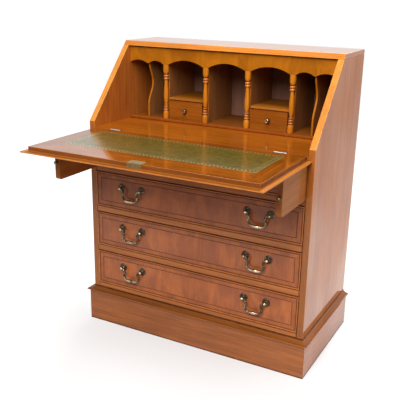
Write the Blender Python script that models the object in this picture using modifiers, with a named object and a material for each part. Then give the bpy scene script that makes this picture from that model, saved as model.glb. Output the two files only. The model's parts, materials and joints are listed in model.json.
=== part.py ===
"""Slant-front writing bureau with a hinged fall, lopers, a pigeonhole fitment and four drawers.

The front faces -Y, +Z is up and the floor is z = 0. Sizes are in metres. The model stands as it is
used: the fall level on its lopers, every drawer shut and every bail hanging.
"""
import math

import bmesh
import bpy
from mathutils import Matrix, Vector

# Fits
TOUCH_GAP = 0.0003
SLIDE_GAP = 0.0010

# Carcase
CASE_WIDTH = 0.810
CASE_DEPTH = 0.431
CASE_HEIGHT = 1.000
SIDE_THICKNESS = 0.0205
TOP_THICKNESS = 0.016
TOP_DEPTH = 0.207
BACK_THICKNESS = 0.008
BOTTOM_THICKNESS = 0.018
BASE_RAIL_HEIGHT = 0.0317
RAIL_THICKNESS = 0.023
UPPER_RAIL_THICKNESS = 0.020
PARTITION_THICKNESS = 0.0145
BED_THICKNESS = 0.0185

# Plinth and its moulding
PLINTH_HEIGHT = 0.118
PLINTH_THICKNESS = 0.025
PLINTH_STEP = 0.0125
MOULDING_STEP = 0.0206
MOULDING_HEIGHT = 0.015
MOULDING_NOSE = 0.003
MOULDING_DROP = 0.006

# Drawers
LONG_DRAWER_COUNT = 3
DRAWER_OPENING = 0.125
DRAWER_FRONT_THICKNESS = 0.020
DRAWER_SIDE_THICKNESS = 0.011
DRAWER_FLOOR_THICKNESS = 0.006
DRAWER_SIDE_DROP = 0.010
DRAWER_BACK_ROOM = 0.025
BEAD_WIDTH = 0.004
BEAD_HEIGHT = 0.0015

# Lopers
LOPER_OPENING = 0.1145
LOPER_THICKNESS = 0.018
LOPER_LENGTH = 0.370
LOPER_CORNER = 0.009
LOPER_OUT_LEFT = 0.212
LOPER_OUT_RIGHT = 0.190
LOPER_KNOB_RADIUS = 0.0055
LOPER_KNOB_LENGTH = 0.013

# Fall, leather, lock and hinges
LIP_MARGIN = 0.0048
LIP_THICKNESS = 0.0051
LIP_OVERLAP = 0.0115
LIP_ROUND = 0.003
FIELD_SIDE_GAP = 0.0055
HINGE_FORWARD = 0.001
LEATHER_SIDE_MARGIN = 0.053
LEATHER_FRONT_MARGIN = 0.0855
LEATHER_BACK_MARGIN = 0.0355
LEATHER_THICKNESS = 0.001
LOCK_WIDTH = 0.048
LOCK_DEPTH = 0.030
LOCK_PLATE = 0.0015
LOCK_CASE_WIDTH = 0.036
LOCK_CASE_DEPTH = 0.022
LOCK_CASE_HEIGHT = 0.008
HINGE_INSET = 0.0885
HINGE_LENGTH = 0.040
HINGE_REACH = 0.015
HINGE_PLATE = 0.0016
KNUCKLE_RADIUS = 0.003
KNUCKLE_LENGTH = 0.009
HINGE_PIN_RADIUS = 0.0012

# Fitment
VALANCE_THICKNESS = 0.010
VALANCE_SETBACK = 0.004
VALANCE_DROP = 0.059
WIDE_ARCH_RISE = 0.018
NARROW_ARCH_RISE = 0.010
FITMENT_BASE_THICKNESS = 0.010
FITMENT_BASE_NOSE = 0.0015
OUTER_BAY_WIDTH = 0.1475
COLUMN_RADIUS = 0.0105
COLUMN_NECK_RADIUS = 0.0046
COLUMN_SHAFT_RADIUS = 0.0070
COLUMN_RING_RADIUS = 0.0072
COLUMN_BEAD_RADIUS = 0.0058
COLUMN_CAP_SHARE = 0.174
COLUMN_NECK_SHARE = 0.026
COLUMN_RING_SHARE = 0.034
COLUMN_BEAD_SHARE = 0.036
COLUMN_FOOT_SHARE = 0.184
DIVIDER_THICKNESS = 0.015
SHELF_THICKNESS = 0.007
SERPENTINE_THICKNESS = 0.006
SERPENTINE_RECESS = 0.025
SERPENTINE_FOOT = 0.006
SERPENTINE_FOOT_HEIGHT = 0.045
SMALL_DRAWER_OPENING = 0.067
SMALL_FRONT_THICKNESS = 0.010
SMALL_WALL_THICKNESS = 0.006
SMALL_FLOOR_THICKNESS = 0.004
SMALL_SIDE_DROP = 0.008
SMALL_BACK_ROOM = 0.012
SMALL_KNOB_RADIUS = 0.0078
SMALL_KNOB_LENGTH = 0.014

# Swan-neck handles
HANDLE_INSET = 0.1485
HANDLE_RISE = 0.017
POST_SPACING = 0.0795
POST_REACH = 0.0135
POST_HEAD_RADIUS = 0.0052
POST_NECK_RADIUS = 0.0036
ROSETTE_RADIUS = 0.0118
ROSETTE_HEIGHT = 0.003
BOLT_RADIUS = 0.0022
BOLT_CLEARANCE = 0.0004
STRAP_HEIGHT = 0.009
STRAP_THICKNESS = 0.0012
BAIL_RADIUS = 0.0026
BAIL_PIN_RADIUS = 0.0017
BAIL_GRIP_RADIUS = 0.0040
BAIL_DROP = 0.0410
BAIL_PIN_DEPTH = 0.002
BAIL_CURL = 0.0046

# Facets of the turned and bored pieces
TURNED_SIDES = 14
SMALL_SIDES = 10
ARCH_STEPS = 8

# Levels worked out from the sizes above
CASE_FOOT = PLINTH_HEIGHT + TOUCH_GAP
FIRST_OPENING = CASE_FOOT + BASE_RAIL_HEIGHT
DRAWER_PITCH = DRAWER_OPENING + RAIL_THICKNESS
UPPER_RAIL_FOOT = FIRST_OPENING + LONG_DRAWER_COUNT * DRAWER_PITCH - RAIL_THICKNESS
LOPER_FLOOR = UPPER_RAIL_FOOT + UPPER_RAIL_THICKNESS
BED_UNDERSIDE = LOPER_FLOOR + LOPER_OPENING
BED_TOP = BED_UNDERSIDE + BED_THICKNESS
TOP_UNDERSIDE = CASE_HEIGHT - TOP_THICKNESS

# Planes from side to side and from front to back
HALF_WIDTH = CASE_WIDTH / 2
INNER = HALF_WIDTH - SIDE_THICKNESS
HANDLE_OFFSET = INNER - HANDLE_INSET
HINGE_OFFSET = INNER - HINGE_INSET

# The slant runs from the top's front edge past the hinge line at the depth of the fall's rebate,
# so that the lip of the shut fall lies on the slanted edges
REBATE = BED_THICKNESS - LIP_THICKNESS
SLANT_RUN = CASE_DEPTH - TOP_DEPTH
TOP_EDGE_OUT = SLANT_RUN + HINGE_FORWARD
TOP_EDGE_UP = CASE_HEIGHT - BED_TOP
TOP_EDGE_DISTANCE = math.hypot(TOP_EDGE_OUT, TOP_EDGE_UP)
SLANT = math.atan2(TOP_EDGE_UP, TOP_EDGE_OUT) - math.asin((REBATE - TOUCH_GAP) / TOP_EDGE_DISTANCE)
SHOULDER = CASE_HEIGHT - SLANT_RUN * math.tan(SLANT)
FALL_LENGTH = TOP_EDGE_OUT * math.cos(SLANT) + TOP_EDGE_UP * math.sin(SLANT) - LIP_MARGIN
FALL_REACH = HINGE_FORWARD + FALL_LENGTH
FRONT = (FALL_REACH - CASE_DEPTH) / 2
BACK = FRONT + CASE_DEPTH
BACK_FACE = BACK - BACK_THICKNESS
TOP_FRONT = FRONT + SLANT_RUN
TOP_LOWER_FRONT = TOP_FRONT - TOP_THICKNESS / math.tan(SLANT)

# The fall's field goes up to the top board's underside when it is shut
HINGE_Y = FRONT - HINGE_FORWARD
FIELD_RISE = TOP_UNDERSIDE - SLIDE_GAP - BED_TOP - REBATE * math.cos(SLANT)
FIELD_LENGTH = FIELD_RISE / math.sin(SLANT)
FIELD_FRONT = HINGE_Y - FIELD_LENGTH
FIELD_HALF = INNER - FIELD_SIDE_GAP
LEATHER_WIDTH = 2 * (FIELD_HALF - LEATHER_SIDE_MARGIN)
LEATHER_DEPTH = FIELD_LENGTH - LEATHER_FRONT_MARGIN - LEATHER_BACK_MARGIN

# The fitment stands behind the shut fall
VALANCE_FRONT = HINGE_Y + FIELD_LENGTH * math.cos(SLANT) + VALANCE_SETBACK
VALANCE_BACK = VALANCE_FRONT + VALANCE_THICKNESS
COLUMN_Y = VALANCE_FRONT + VALANCE_THICKNESS / 2
DIVIDER_FRONT = COLUMN_Y + COLUMN_RADIUS + TOUCH_GAP
FITMENT_FLOOR = BED_TOP + TOUCH_GAP + FITMENT_BASE_THICKNESS
COLUMN_FOOT = FITMENT_FLOOR + TOUCH_GAP
ARCH_SPRING = TOP_UNDERSIDE - VALANCE_DROP
COLUMN_HEIGHT = ARCH_SPRING - TOUCH_GAP - COLUMN_FOOT
COLUMN_SPACING = (INNER - OUTER_BAY_WIDTH) * 2 / 3
COLUMN_XS = [(index - 1.5) * COLUMN_SPACING for index in range(4)]
SERPENTINE_X = (COLUMN_XS[3] + INNER) / 2
SHELF_UNDERSIDE = FITMENT_FLOOR + SMALL_DRAWER_OPENING

# Sideways places of the lopers and of their partitions
LOPER_OUTER = INNER - SLIDE_GAP
LOPER_INNER = LOPER_OUTER - LOPER_THICKNESS
PARTITION_OUTER = LOPER_INNER - SLIDE_GAP
PARTITION_INNER = PARTITION_OUTER - PARTITION_THICKNESS

SIDES = (("left", -1), ("right", 1))


def clear_scene():
    """Remove every object of the scene."""
    for obj in list(bpy.data.objects):
        bpy.data.objects.remove(obj)


def new_collection(name):
    """Return a new collection that is linked to the scene."""
    collection = bpy.data.collections.new(name)
    bpy.context.scene.collection.children.link(collection)
    return collection


def finish(name, colour, roughness, metallic=0.0):
    """Return a Principled material."""
    material = bpy.data.materials.new(name)
    material.use_nodes = True
    shader = material.node_tree.nodes["Principled BSDF"]
    shader.inputs["Base Color"].default_value = (*colour, 1.0)
    shader.inputs["Roughness"].default_value = roughness
    shader.inputs["Metallic"].default_value = metallic
    material.diffuse_color = (*colour, 1.0)
    return material


clear_scene()
PARTS = new_collection("writing_bureau")
CUTTERS = new_collection("cutters")
CASE_WOOD = finish("case_wood", (0.40, 0.13, 0.035), 0.28)
FRONT_WOOD = finish("front_wood", (0.25, 0.075, 0.030), 0.28)
EDGE_WOOD = finish("edge_wood", (0.55, 0.20, 0.035), 0.30)
DRAWER_WOOD = finish("drawer_wood", (0.42, 0.22, 0.10), 0.55)
BRASS = finish("antique_brass", (0.42, 0.30, 0.14), 0.32, 1.0)
LEATHER = finish("green_leather", (0.16, 0.15, 0.03), 0.45)


def link(obj, material, parent=None):
    """Put a piece in the parts collection with its material and, where it moves, its parent empty."""
    PARTS.objects.link(obj)
    obj.data.materials.clear()
    obj.data.materials.append(material)
    if parent is not None:
        obj.parent = parent
        obj.location = obj.location - parent.location
    return obj


def empty(name, location):
    """Return an empty that marks where a moving group is joined."""
    obj = bpy.data.objects.new(name, None)
    obj.location = location
    PARTS.objects.link(obj)
    return obj


def box(name, low, high):
    """Return a cuboid between two corners."""
    low = Vector(low)
    high = Vector(high)
    bm = bmesh.new()
    bmesh.ops.create_cube(bm, size=1.0, matrix=Matrix.Diagonal((*(high - low), 1.0)))
    mesh = bpy.data.meshes.new(name)
    bm.to_mesh(mesh)
    bm.free()
    obj = bpy.data.objects.new(name, mesh)
    obj.location = (low + high) / 2
    return obj


def rod(name, radius, start, end, sides=SMALL_SIDES):
    """Return a cylinder between two points."""
    start = Vector(start)
    end = Vector(end)
    bm = bmesh.new()
    bmesh.ops.create_cone(bm, cap_ends=True, segments=sides, radius1=radius, radius2=radius,
                          depth=(end - start).length)
    mesh = bpy.data.meshes.new(name)
    bm.to_mesh(mesh)
    bm.free()
    obj = bpy.data.objects.new(name, mesh)
    obj.location = (start + end) / 2
    obj.rotation_euler = (end - start).to_track_quat("Z", "Y").to_euler()
    return obj


def bake(obj, tools=()):
    """Return the welded mesh of an evaluated object, in its own axes, and remove it and its tools."""
    for piece in (obj, *tools):
        if not piece.users_collection:
            CUTTERS.objects.link(piece)
    bpy.context.view_layer.update()
    depsgraph = bpy.context.evaluated_depsgraph_get()
    mesh = bpy.data.meshes.new_from_object(obj.evaluated_get(depsgraph))
    bm = bmesh.new()
    bm.from_mesh(mesh)
    bmesh.ops.remove_doubles(bm, verts=bm.verts, dist=1e-6)
    bmesh.ops.recalc_face_normals(bm, faces=bm.faces)
    bm.to_mesh(mesh)
    bm.free()
    mesh.shade_smooth()
    mesh.set_sharp_from_angle(angle=math.radians(35))
    for piece in (obj, *tools):
        bpy.data.objects.remove(piece)
    return mesh


def prism(name, points, low, high, plane):
    """Return a flat outline with a thickness, from low to high across its plane.

    The points are (y, z) on plane "YZ" and (x, z) on plane "XZ".
    """
    curve = bpy.data.curves.new(name, "CURVE")
    curve.dimensions = "2D"
    curve.fill_mode = "BOTH"
    curve.extrude = (high - low) / 2
    spline = curve.splines.new("POLY")
    spline.points.add(len(points) - 1)
    for point, (across, up) in zip(spline.points, points):
        point.co = (across, up, 0.0, 1.0)
    spline.use_cyclic_u = True
    mesh = bake(bpy.data.objects.new(name + "_outline", curve))
    obj = bpy.data.objects.new(name, mesh)
    middle = (low + high) / 2
    if plane == "YZ":
        obj.rotation_euler = (math.pi / 2, 0.0, math.pi / 2)
        obj.location = (middle, 0.0, 0.0)
    else:
        obj.rotation_euler = (math.pi / 2, 0.0, 0.0)
        obj.location = (0.0, middle, 0.0)
    return obj


def turned(name, profile, sides=TURNED_SIDES):
    """Return a turned piece about its own Z axis, from (radius, height) points, top to bottom."""
    mesh = bpy.data.meshes.new(name)
    edges = [(index, index + 1) for index in range(len(profile) - 1)]
    mesh.from_pydata([(radius, 0.0, height) for radius, height in profile], edges, [])
    obj = bpy.data.objects.new(name, mesh)
    screw = obj.modifiers.new("turn", "SCREW")
    screw.steps = sides
    screw.render_steps = sides
    screw.use_merge_vertices = True
    screw.merge_threshold = 1e-5
    return obj


def combine(obj, tools, operation):
    """Join the tools to a piece, or cut them out of it."""
    for tool in tools:
        if not tool.users_collection:
            CUTTERS.objects.link(tool)
        tool.hide_render = True
        tool.display_type = "WIRE"
        boolean = obj.modifiers.new(operation.lower(), "BOOLEAN")
        boolean.operation = operation
        boolean.solver = "EXACT"
        boolean.object = tool
    return obj


def arc(centre, radius, start, end, steps):
    """Return points along an arc, angles in radians, both ends included."""
    angles = [start + (end - start) * index / steps for index in range(steps + 1)]
    return [(centre[0] + radius * math.cos(a), centre[1] + radius * math.sin(a)) for a in angles]


def arch(left, right, spring, rise, steps=ARCH_STEPS):
    """Return the points of a low round arch from left to right, both springings included."""
    half = (right - left) / 2
    radius = (half * half + rise * rise) / (2 * rise)
    reach = math.asin(half / radius)
    centre = ((left + right) / 2, spring + rise - radius)
    return arc(centre, radius, math.pi / 2 + reach, math.pi / 2 - reach, steps)


# Carcase

def side_panels():
    """Both sides, with the slanted upper front edge under the top board."""
    top = TOP_UNDERSIDE - TOUCH_GAP
    slant_end = TOP_LOWER_FRONT - TOUCH_GAP / math.tan(SLANT)
    outline = [(FRONT, CASE_FOOT), (BACK, CASE_FOOT), (BACK, top), (slant_end, top), (FRONT, SHOULDER)]
    for side, sign in SIDES:
        low, high = sorted((sign * INNER, sign * HALF_WIDTH))
        link(prism(f"side_{side}", outline, low, high, "YZ"), CASE_WOOD)


def top_board():
    """The top, whose front edge follows the slant."""
    outline = [(TOP_LOWER_FRONT, TOP_UNDERSIDE), (BACK, TOP_UNDERSIDE), (BACK, CASE_HEIGHT),
               (TOP_FRONT, CASE_HEIGHT)]
    link(prism("top_board", outline, -HALF_WIDTH, HALF_WIDTH, "YZ"), CASE_WOOD)


def inner_board(name, low_z, high_z, front, material):
    """Link a level board between the sides, from a front plane to the back panel."""
    half = INNER - TOUCH_GAP
    return link(box(name, (-half, front, low_z), (half, BACK_FACE - TOUCH_GAP, high_z)), material)


def carcase_boards():
    """Back panel, bottom board and the dust boards whose front edges are the drawer rails."""
    half = INNER - TOUCH_GAP
    back = box("back_panel", (-half, BACK_FACE, CASE_FOOT), (half, BACK, TOP_UNDERSIDE - TOUCH_GAP))
    link(back, DRAWER_WOOD)
    inner_board("bottom_board", FIRST_OPENING - BOTTOM_THICKNESS, FIRST_OPENING, FRONT, FRONT_WOOD)
    for index in range(LONG_DRAWER_COUNT - 1):
        foot = FIRST_OPENING + DRAWER_OPENING + index * DRAWER_PITCH
        inner_board(f"dust_board_{index + 1}", foot, foot + RAIL_THICKNESS, FRONT, FRONT_WOOD)
    inner_board(f"dust_board_{LONG_DRAWER_COUNT}", UPPER_RAIL_FOOT, LOPER_FLOOR, FRONT, FRONT_WOOD)


def partitions():
    """Upright boards between the upper drawer and each loper."""
    for side, sign in SIDES:
        low, high = sorted((sign * PARTITION_INNER, sign * PARTITION_OUTER))
        link(box(f"partition_{side}", (low, FRONT, LOPER_FLOOR + TOUCH_GAP),
                 (high, BACK_FACE - TOUCH_GAP, BED_UNDERSIDE - TOUCH_GAP)), FRONT_WOOD)


def hinge_recess(sign, side):
    """Cutters for one hinge leaf and for its knuckles, in front of or behind the hinge line."""
    centre = sign * HINGE_OFFSET
    reach = HINGE_LENGTH / 2 + TOUCH_GAP
    low, high = sorted((HINGE_Y, HINGE_Y + side * (HINGE_REACH + TOUCH_GAP)))
    leaf = box("leaf_recess", (centre - reach, low, BED_TOP - HINGE_PLATE - TOUCH_GAP),
               (centre + reach, high, BED_TOP + HINGE_PLATE))
    groove = rod("knuckle_groove", KNUCKLE_RADIUS + TOUCH_GAP * 2, (centre - reach, HINGE_Y, BED_TOP),
                 (centre + reach, HINGE_Y, BED_TOP), TURNED_SIDES)
    return [leaf, groove]


def writing_bed():
    """The fixed writing surface behind the fall, recessed for the hinges."""
    bed = inner_board("writing_bed", BED_UNDERSIDE, BED_TOP, HINGE_Y + TOUCH_GAP, EDGE_WOOD)
    combine(bed, hinge_recess(-1, 1) + hinge_recess(1, 1), "DIFFERENCE")


# Plinth

def plinth_section():
    """Section of a plinth board with its cove moulding, as (step outwards, height) points."""
    inner = PLINTH_STEP - PLINTH_THICKNESS
    crown = PLINTH_HEIGHT + MOULDING_HEIGHT
    nose_top = PLINTH_HEIGHT + MOULDING_NOSE / 2
    cove = [(TOUCH_GAP + (MOULDING_STEP - TOUCH_GAP) * (1 - math.sin(a)),
             nose_top + (crown - nose_top) * (1 - math.cos(a)))
            for a in [math.pi / 2 * index / 5 for index in range(6)]]
    return [(inner, 0.0), (PLINTH_STEP, 0.0), (PLINTH_STEP, PLINTH_HEIGHT - MOULDING_DROP),
            (MOULDING_STEP, nose_top - MOULDING_NOSE), *cove, (TOUCH_GAP, PLINTH_HEIGHT),
            (inner, PLINTH_HEIGHT)]


def mitre(obj, material, cuts):
    """Saw a board's ends off along upright planes, each a point and an outward normal."""
    name = obj.name
    CUTTERS.objects.link(obj)
    bpy.context.view_layer.update()
    mesh = obj.data
    mesh.transform(obj.matrix_world)
    bpy.data.objects.remove(obj)
    bm = bmesh.new()
    bm.from_mesh(mesh)
    for point, normal in cuts:
        geometry = bm.verts[:] + bm.edges[:] + bm.faces[:]
        bmesh.ops.bisect_plane(bm, geom=geometry, dist=1e-6, plane_co=point, plane_no=normal,
                               clear_outer=True)
        bmesh.ops.holes_fill(bm, edges=[edge for edge in bm.edges if edge.is_boundary])
    bm.to_mesh(mesh)
    bm.free()
    return link(bpy.data.objects.new(name, mesh), material)


def plinth():
    """Front and end boards mitred at the corners, and a plain back board."""
    section = plinth_section()
    reach = HALF_WIDTH + MOULDING_STEP
    corner = HALF_WIDTH - TOUCH_GAP
    front = prism("plinth_front", [(FRONT - step, up) for step, up in section], -reach, reach, "YZ")
    mitre(front, CASE_WOOD, [((sign * corner, FRONT, 0.0), (sign, 1.0, 0.0)) for side, sign in SIDES])
    for side, sign in SIDES:
        points = [(sign * (HALF_WIDTH + step), up) for step, up in section]
        board = prism(f"plinth_{side}", points, FRONT - MOULDING_STEP, BACK, "XZ")
        mitre(board, CASE_WOOD, [((sign * HALF_WIDTH, FRONT, 0.0), (-sign, -1.0, 0.0))])
    half = HALF_WIDTH + PLINTH_STEP - PLINTH_THICKNESS - TOUCH_GAP
    link(box("plinth_back", (-half, BACK - PLINTH_THICKNESS, 0.0), (half, BACK, PLINTH_HEIGHT)), CASE_WOOD)


# Fall

def fall_panel(pivot):
    """The fall: a thin lip round a thicker field, recessed for leather, lock and hinges."""
    half = INNER + LIP_OVERLAP
    back = HINGE_Y - TOUCH_GAP
    lip_front = FRONT - FALL_REACH
    lip = box("fall_panel", (-half, lip_front, BED_UNDERSIDE), (half, back, BED_UNDERSIDE + LIP_THICKNESS))
    round_lip(lip)
    field = box("field", (-FIELD_HALF, FIELD_FRONT, BED_UNDERSIDE + LIP_THICKNESS / 2),
                (FIELD_HALF, back, BED_TOP))
    combine(lip, [field], "UNION")
    cutters = [leather_box("leather_recess", TOUCH_GAP, BED_TOP + LEATHER_THICKNESS)]
    cutters += lock_boxes(TOUCH_GAP)
    cutters += hinge_recess(-1, -1) + hinge_recess(1, -1)
    combine(lip, cutters, "DIFFERENCE")
    mesh = bake(lip, [field, *cutters])
    fall = bpy.data.objects.new("fall_panel", mesh)
    middle = (lip_front + back) / 2
    fall.location = (0.0, middle, BED_UNDERSIDE + LIP_THICKNESS / 2)
    link(fall, EDGE_WOOD, pivot)


def round_lip(lip):
    """Round the lip's outer lower edges, at its front and its two ends."""
    bm = bmesh.new()
    bm.from_mesh(lip.data)
    rear = max(vert.co.y for vert in bm.verts)
    edges = [edge for edge in bm.edges
             if all(vert.co.z < 0 for vert in edge.verts) and any(vert.co.y < rear for vert in edge.verts)]
    bmesh.ops.bevel(bm, geom=edges, offset=LIP_ROUND, segments=3, profile=0.5, affect="EDGES")
    bm.to_mesh(lip.data)
    bm.free()


def leather_box(name, margin, top):
    """The leather's place on the field, grown by a margin."""
    back = HINGE_Y - LEATHER_BACK_MARGIN
    half = LEATHER_WIDTH / 2 + margin
    return box(name, (-half, back - LEATHER_DEPTH - margin, BED_TOP - LEATHER_THICKNESS - margin),
               (half, back + margin, top))


def lock_boxes(margin):
    """The lock's top plate, front plate and case, grown by a margin."""
    half = LOCK_WIDTH / 2 + margin
    case_half = LOCK_CASE_WIDTH / 2 + margin
    proud = margin + (LOCK_PLATE if margin else 0.0)
    shelf = BED_UNDERSIDE + LIP_THICKNESS + TOUCH_GAP - margin
    top = box("lock_top", (-half, FIELD_FRONT - proud, BED_TOP - LOCK_PLATE - margin),
              (half, FIELD_FRONT + LOCK_DEPTH + margin, BED_TOP + proud))
    front = box("lock_front", (-half, FIELD_FRONT - proud, shelf),
                (half, FIELD_FRONT + LOCK_PLATE + margin, BED_TOP - LOCK_PLATE / 2))
    case = box("lock_case", (-case_half, FIELD_FRONT + LOCK_PLATE / 2, BED_TOP - LOCK_CASE_HEIGHT - margin),
               (case_half, FIELD_FRONT + LOCK_CASE_DEPTH + margin, BED_TOP - LOCK_PLATE / 2))
    return [top, front, case]


def fall_fittings(pivot):
    """Leather skiver and brass lock, both let into the fall."""
    link(leather_box("fall_leather", 0.0, BED_TOP), LEATHER, pivot)
    top, front, case = lock_boxes(0.0)
    place = top.location.copy()
    mesh = bake(combine(top, [front, case], "UNION"), [front, case])
    lock = bpy.data.objects.new("fall_lock", mesh)
    lock.location = place
    link(lock, BRASS, pivot)


def hinge_leaves(pivot):
    """Two butt hinges: the bed's leaf holds the pin, the fall's leaf turns on it."""
    half = HINGE_LENGTH / 2
    inner = half - KNUCKLE_LENGTH
    knuckle_end = inner - TOUCH_GAP
    clear = KNUCKLE_RADIUS + TOUCH_GAP * 2
    plate_low = -HINGE_PLATE
    pin = rod("pin", HINGE_PIN_RADIUS, (-half, 0, 0), (half, 0, 0))
    bed_plate = box("plate", (-half, clear, plate_low), (half, HINGE_REACH, 0.0))
    tools = [pin]
    for side, sign in SIDES:
        low, high = sorted((sign * inner, sign * half))
        tools.append(box("tab", (low, 0.0, plate_low), (high, clear * 1.2, 0.0)))
        tools.append(rod("knuckle", KNUCKLE_RADIUS, (low, 0, 0), (high, 0, 0), TURNED_SIDES))
    bed_offset = bed_plate.location.copy()
    bed_mesh = bake(combine(bed_plate, tools, "UNION"), tools)
    fall_plate = box("plate", (-half, -HINGE_REACH, plate_low), (half, -clear, 0.0))
    tab = box("tab", (-knuckle_end, -clear * 1.2, plate_low), (knuckle_end, 0.0, 0.0))
    knuckle = rod("knuckle", KNUCKLE_RADIUS, (-knuckle_end, 0, 0), (knuckle_end, 0, 0), TURNED_SIDES)
    bore = rod("bore", HINGE_PIN_RADIUS + TOUCH_GAP, (-half, 0, 0), (half, 0, 0))
    fall_offset = fall_plate.location.copy()
    combine(fall_plate, [tab, knuckle], "UNION")
    fall_mesh = bake(combine(fall_plate, [bore], "DIFFERENCE"), [tab, knuckle, bore])
    for side, sign in SIDES:
        axis = Vector((sign * HINGE_OFFSET, HINGE_Y, BED_TOP))
        bed_leaf = bpy.data.objects.new(f"hinge_bed_leaf_{side}", bed_mesh)
        bed_leaf.location = axis + bed_offset
        link(bed_leaf, BRASS)
        fall_leaf = bpy.data.objects.new(f"hinge_fall_leaf_{side}", fall_mesh)
        fall_leaf.location = axis + fall_offset
        link(fall_leaf, BRASS, pivot)


# Lopers

def knob_profile(radius, length):
    """A small turned knob on its base, as (radius, height) points from its crown to its base."""
    stem = radius * 0.5
    foot = radius * 0.8
    belly = length - radius * 0.75
    crown = [(radius * math.sin(a), belly + radius * 0.75 * math.cos(a))
             for a in [math.pi / 2 * index / 4 for index in range(5)]]
    return [*crown, (stem, belly - radius * 0.7), (stem, length * 0.22), (foot, length * 0.16),
            (foot, 0.0), (0.0, 0.0)]


def knob(name, radius, length, seat, parent):
    """Link a knob that stands on a front face at the seat point and points forwards."""
    mesh = bake(turned(name + "_profile", knob_profile(radius, length), SMALL_SIDES))
    obj = bpy.data.objects.new(name, mesh)
    obj.rotation_euler = (math.pi / 2, 0.0, 0.0)
    obj.location = (seat[0], seat[1] - TOUCH_GAP, seat[2])
    link(obj, BRASS, parent)


def lopers():
    """The two slides that carry the open fall, drawn out as they are used."""
    low_z = LOPER_FLOOR + TOUCH_GAP
    high_z = BED_UNDERSIDE - TOUCH_GAP
    for side, sign, out in (("left", -1, LOPER_OUT_LEFT), ("right", 1, LOPER_OUT_RIGHT)):
        front = FRONT - out
        back = front + LOPER_LENGTH
        corner = arc((front + LOPER_CORNER, low_z + LOPER_CORNER), LOPER_CORNER, math.pi, math.pi * 1.5, 4)
        low, high = sorted((sign * LOPER_INNER, sign * LOPER_OUTER))
        middle = (low + high) / 2
        slide = empty(f"loper_{side}_slide", (middle, front, low_z))
        outline = [(front, high_z), *corner, (back, low_z), (back, high_z)]
        link(prism(f"loper_{side}", outline, low, high, "YZ"), FRONT_WOOD, slide)
        knob(f"loper_knob_{side}", LOPER_KNOB_RADIUS, LOPER_KNOB_LENGTH,
             (middle, front, (low_z + high_z) / 2), slide)


# Drawers and their handles

def drawer_mesh(width, height):
    """Mesh of a drawer whose front face is the plane y = 0, centred on x and z."""
    length = CASE_DEPTH - BACK_THICKNESS - DRAWER_BACK_ROOM
    half = width / 2
    rise = height / 2
    front = box("front", (-half, -BEAD_HEIGHT, -rise), (half, DRAWER_FRONT_THICKNESS, rise))
    cockbead(front)
    side_top = rise - DRAWER_SIDE_DROP
    body = box("body", (-half, DRAWER_FRONT_THICKNESS / 2, -rise), (half, length, side_top))
    inside = half - DRAWER_SIDE_THICKNESS
    floor = -rise + DRAWER_FLOOR_THICKNESS
    pocket = box("pocket", (-inside, DRAWER_FRONT_THICKNESS, floor),
                 (inside, length - DRAWER_SIDE_THICKNESS, rise + DRAWER_SIDE_DROP))
    combine(front, [body], "UNION")
    tools = [pocket]
    for centre in (-HANDLE_OFFSET, HANDLE_OFFSET):
        for post in (-POST_SPACING / 2, POST_SPACING / 2):
            x = centre + post
            tools.append(rod("bolt_hole", BOLT_RADIUS + BOLT_CLEARANCE, (x, -BEAD_HEIGHT * 2, HANDLE_RISE),
                             (x, DRAWER_FRONT_THICKNESS * 1.5, HANDLE_RISE)))
    combine(front, tools, "DIFFERENCE")
    shift = front.location.copy()
    mesh = bake(front, [body, *tools])
    mesh.transform(Matrix.Translation(shift))
    return mesh


def cockbead(front):
    """Sink the front's face inside a narrow raised bead."""
    bm = bmesh.new()
    bm.from_mesh(front.data)
    face = min(bm.faces, key=lambda each: each.calc_center_median().y)
    bmesh.ops.inset_region(bm, faces=[face], thickness=BEAD_WIDTH, depth=0.0)
    bmesh.ops.inset_region(bm, faces=[face], thickness=BEAD_HEIGHT / 2, depth=-BEAD_HEIGHT)
    bm.to_mesh(front.data)
    bm.free()


def handle_mount_mesh():
    """Two rosette posts on bolts through the drawer front, tied by a strap inside it."""
    strap_face = POST_REACH + DRAWER_FRONT_THICKNESS + TOUCH_GAP
    strap_half = POST_SPACING / 2 + STRAP_HEIGHT / 2
    strap = box("strap", (-strap_half, strap_face, -STRAP_HEIGHT / 2),
                (strap_half, strap_face + STRAP_THICKNESS, STRAP_HEIGHT / 2))
    bolt_end = -(strap_face + STRAP_THICKNESS / 2)
    seat = -POST_REACH + TOUCH_GAP
    head = [(POST_HEAD_RADIUS * math.sin(a), POST_HEAD_RADIUS * math.cos(a))
            for a in [math.radians(angle) for angle in (0, 45, 90, 125)]]
    profile = [*head, (POST_NECK_RADIUS, seat + ROSETTE_HEIGHT * 1.5),
               (ROSETTE_RADIUS * 0.8, seat + ROSETTE_HEIGHT), (ROSETTE_RADIUS, seat + ROSETTE_HEIGHT / 2),
               (ROSETTE_RADIUS, seat), (BOLT_RADIUS, seat), (BOLT_RADIUS, bolt_end), (0.0, bolt_end)]
    posts = []
    for side, sign in SIDES:
        post = turned(f"post_{side}", profile, SMALL_SIDES)
        post.rotation_euler = (math.pi / 2, 0.0, 0.0)
        post.location = (sign * POST_SPACING / 2, 0.0, 0.0)
        posts.append(post)
    reach = POST_SPACING / 2 + POST_HEAD_RADIUS * 2
    bore = rod("bore", BAIL_PIN_RADIUS + TOUCH_GAP, (-reach, 0, 0), (reach, 0, 0))
    combine(strap, posts, "UNION")
    combine(strap, [bore], "DIFFERENCE")
    shift = strap.location.copy()
    mesh = bake(strap, [*posts, bore])
    mesh.transform(Matrix.Translation(shift))
    return mesh


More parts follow.
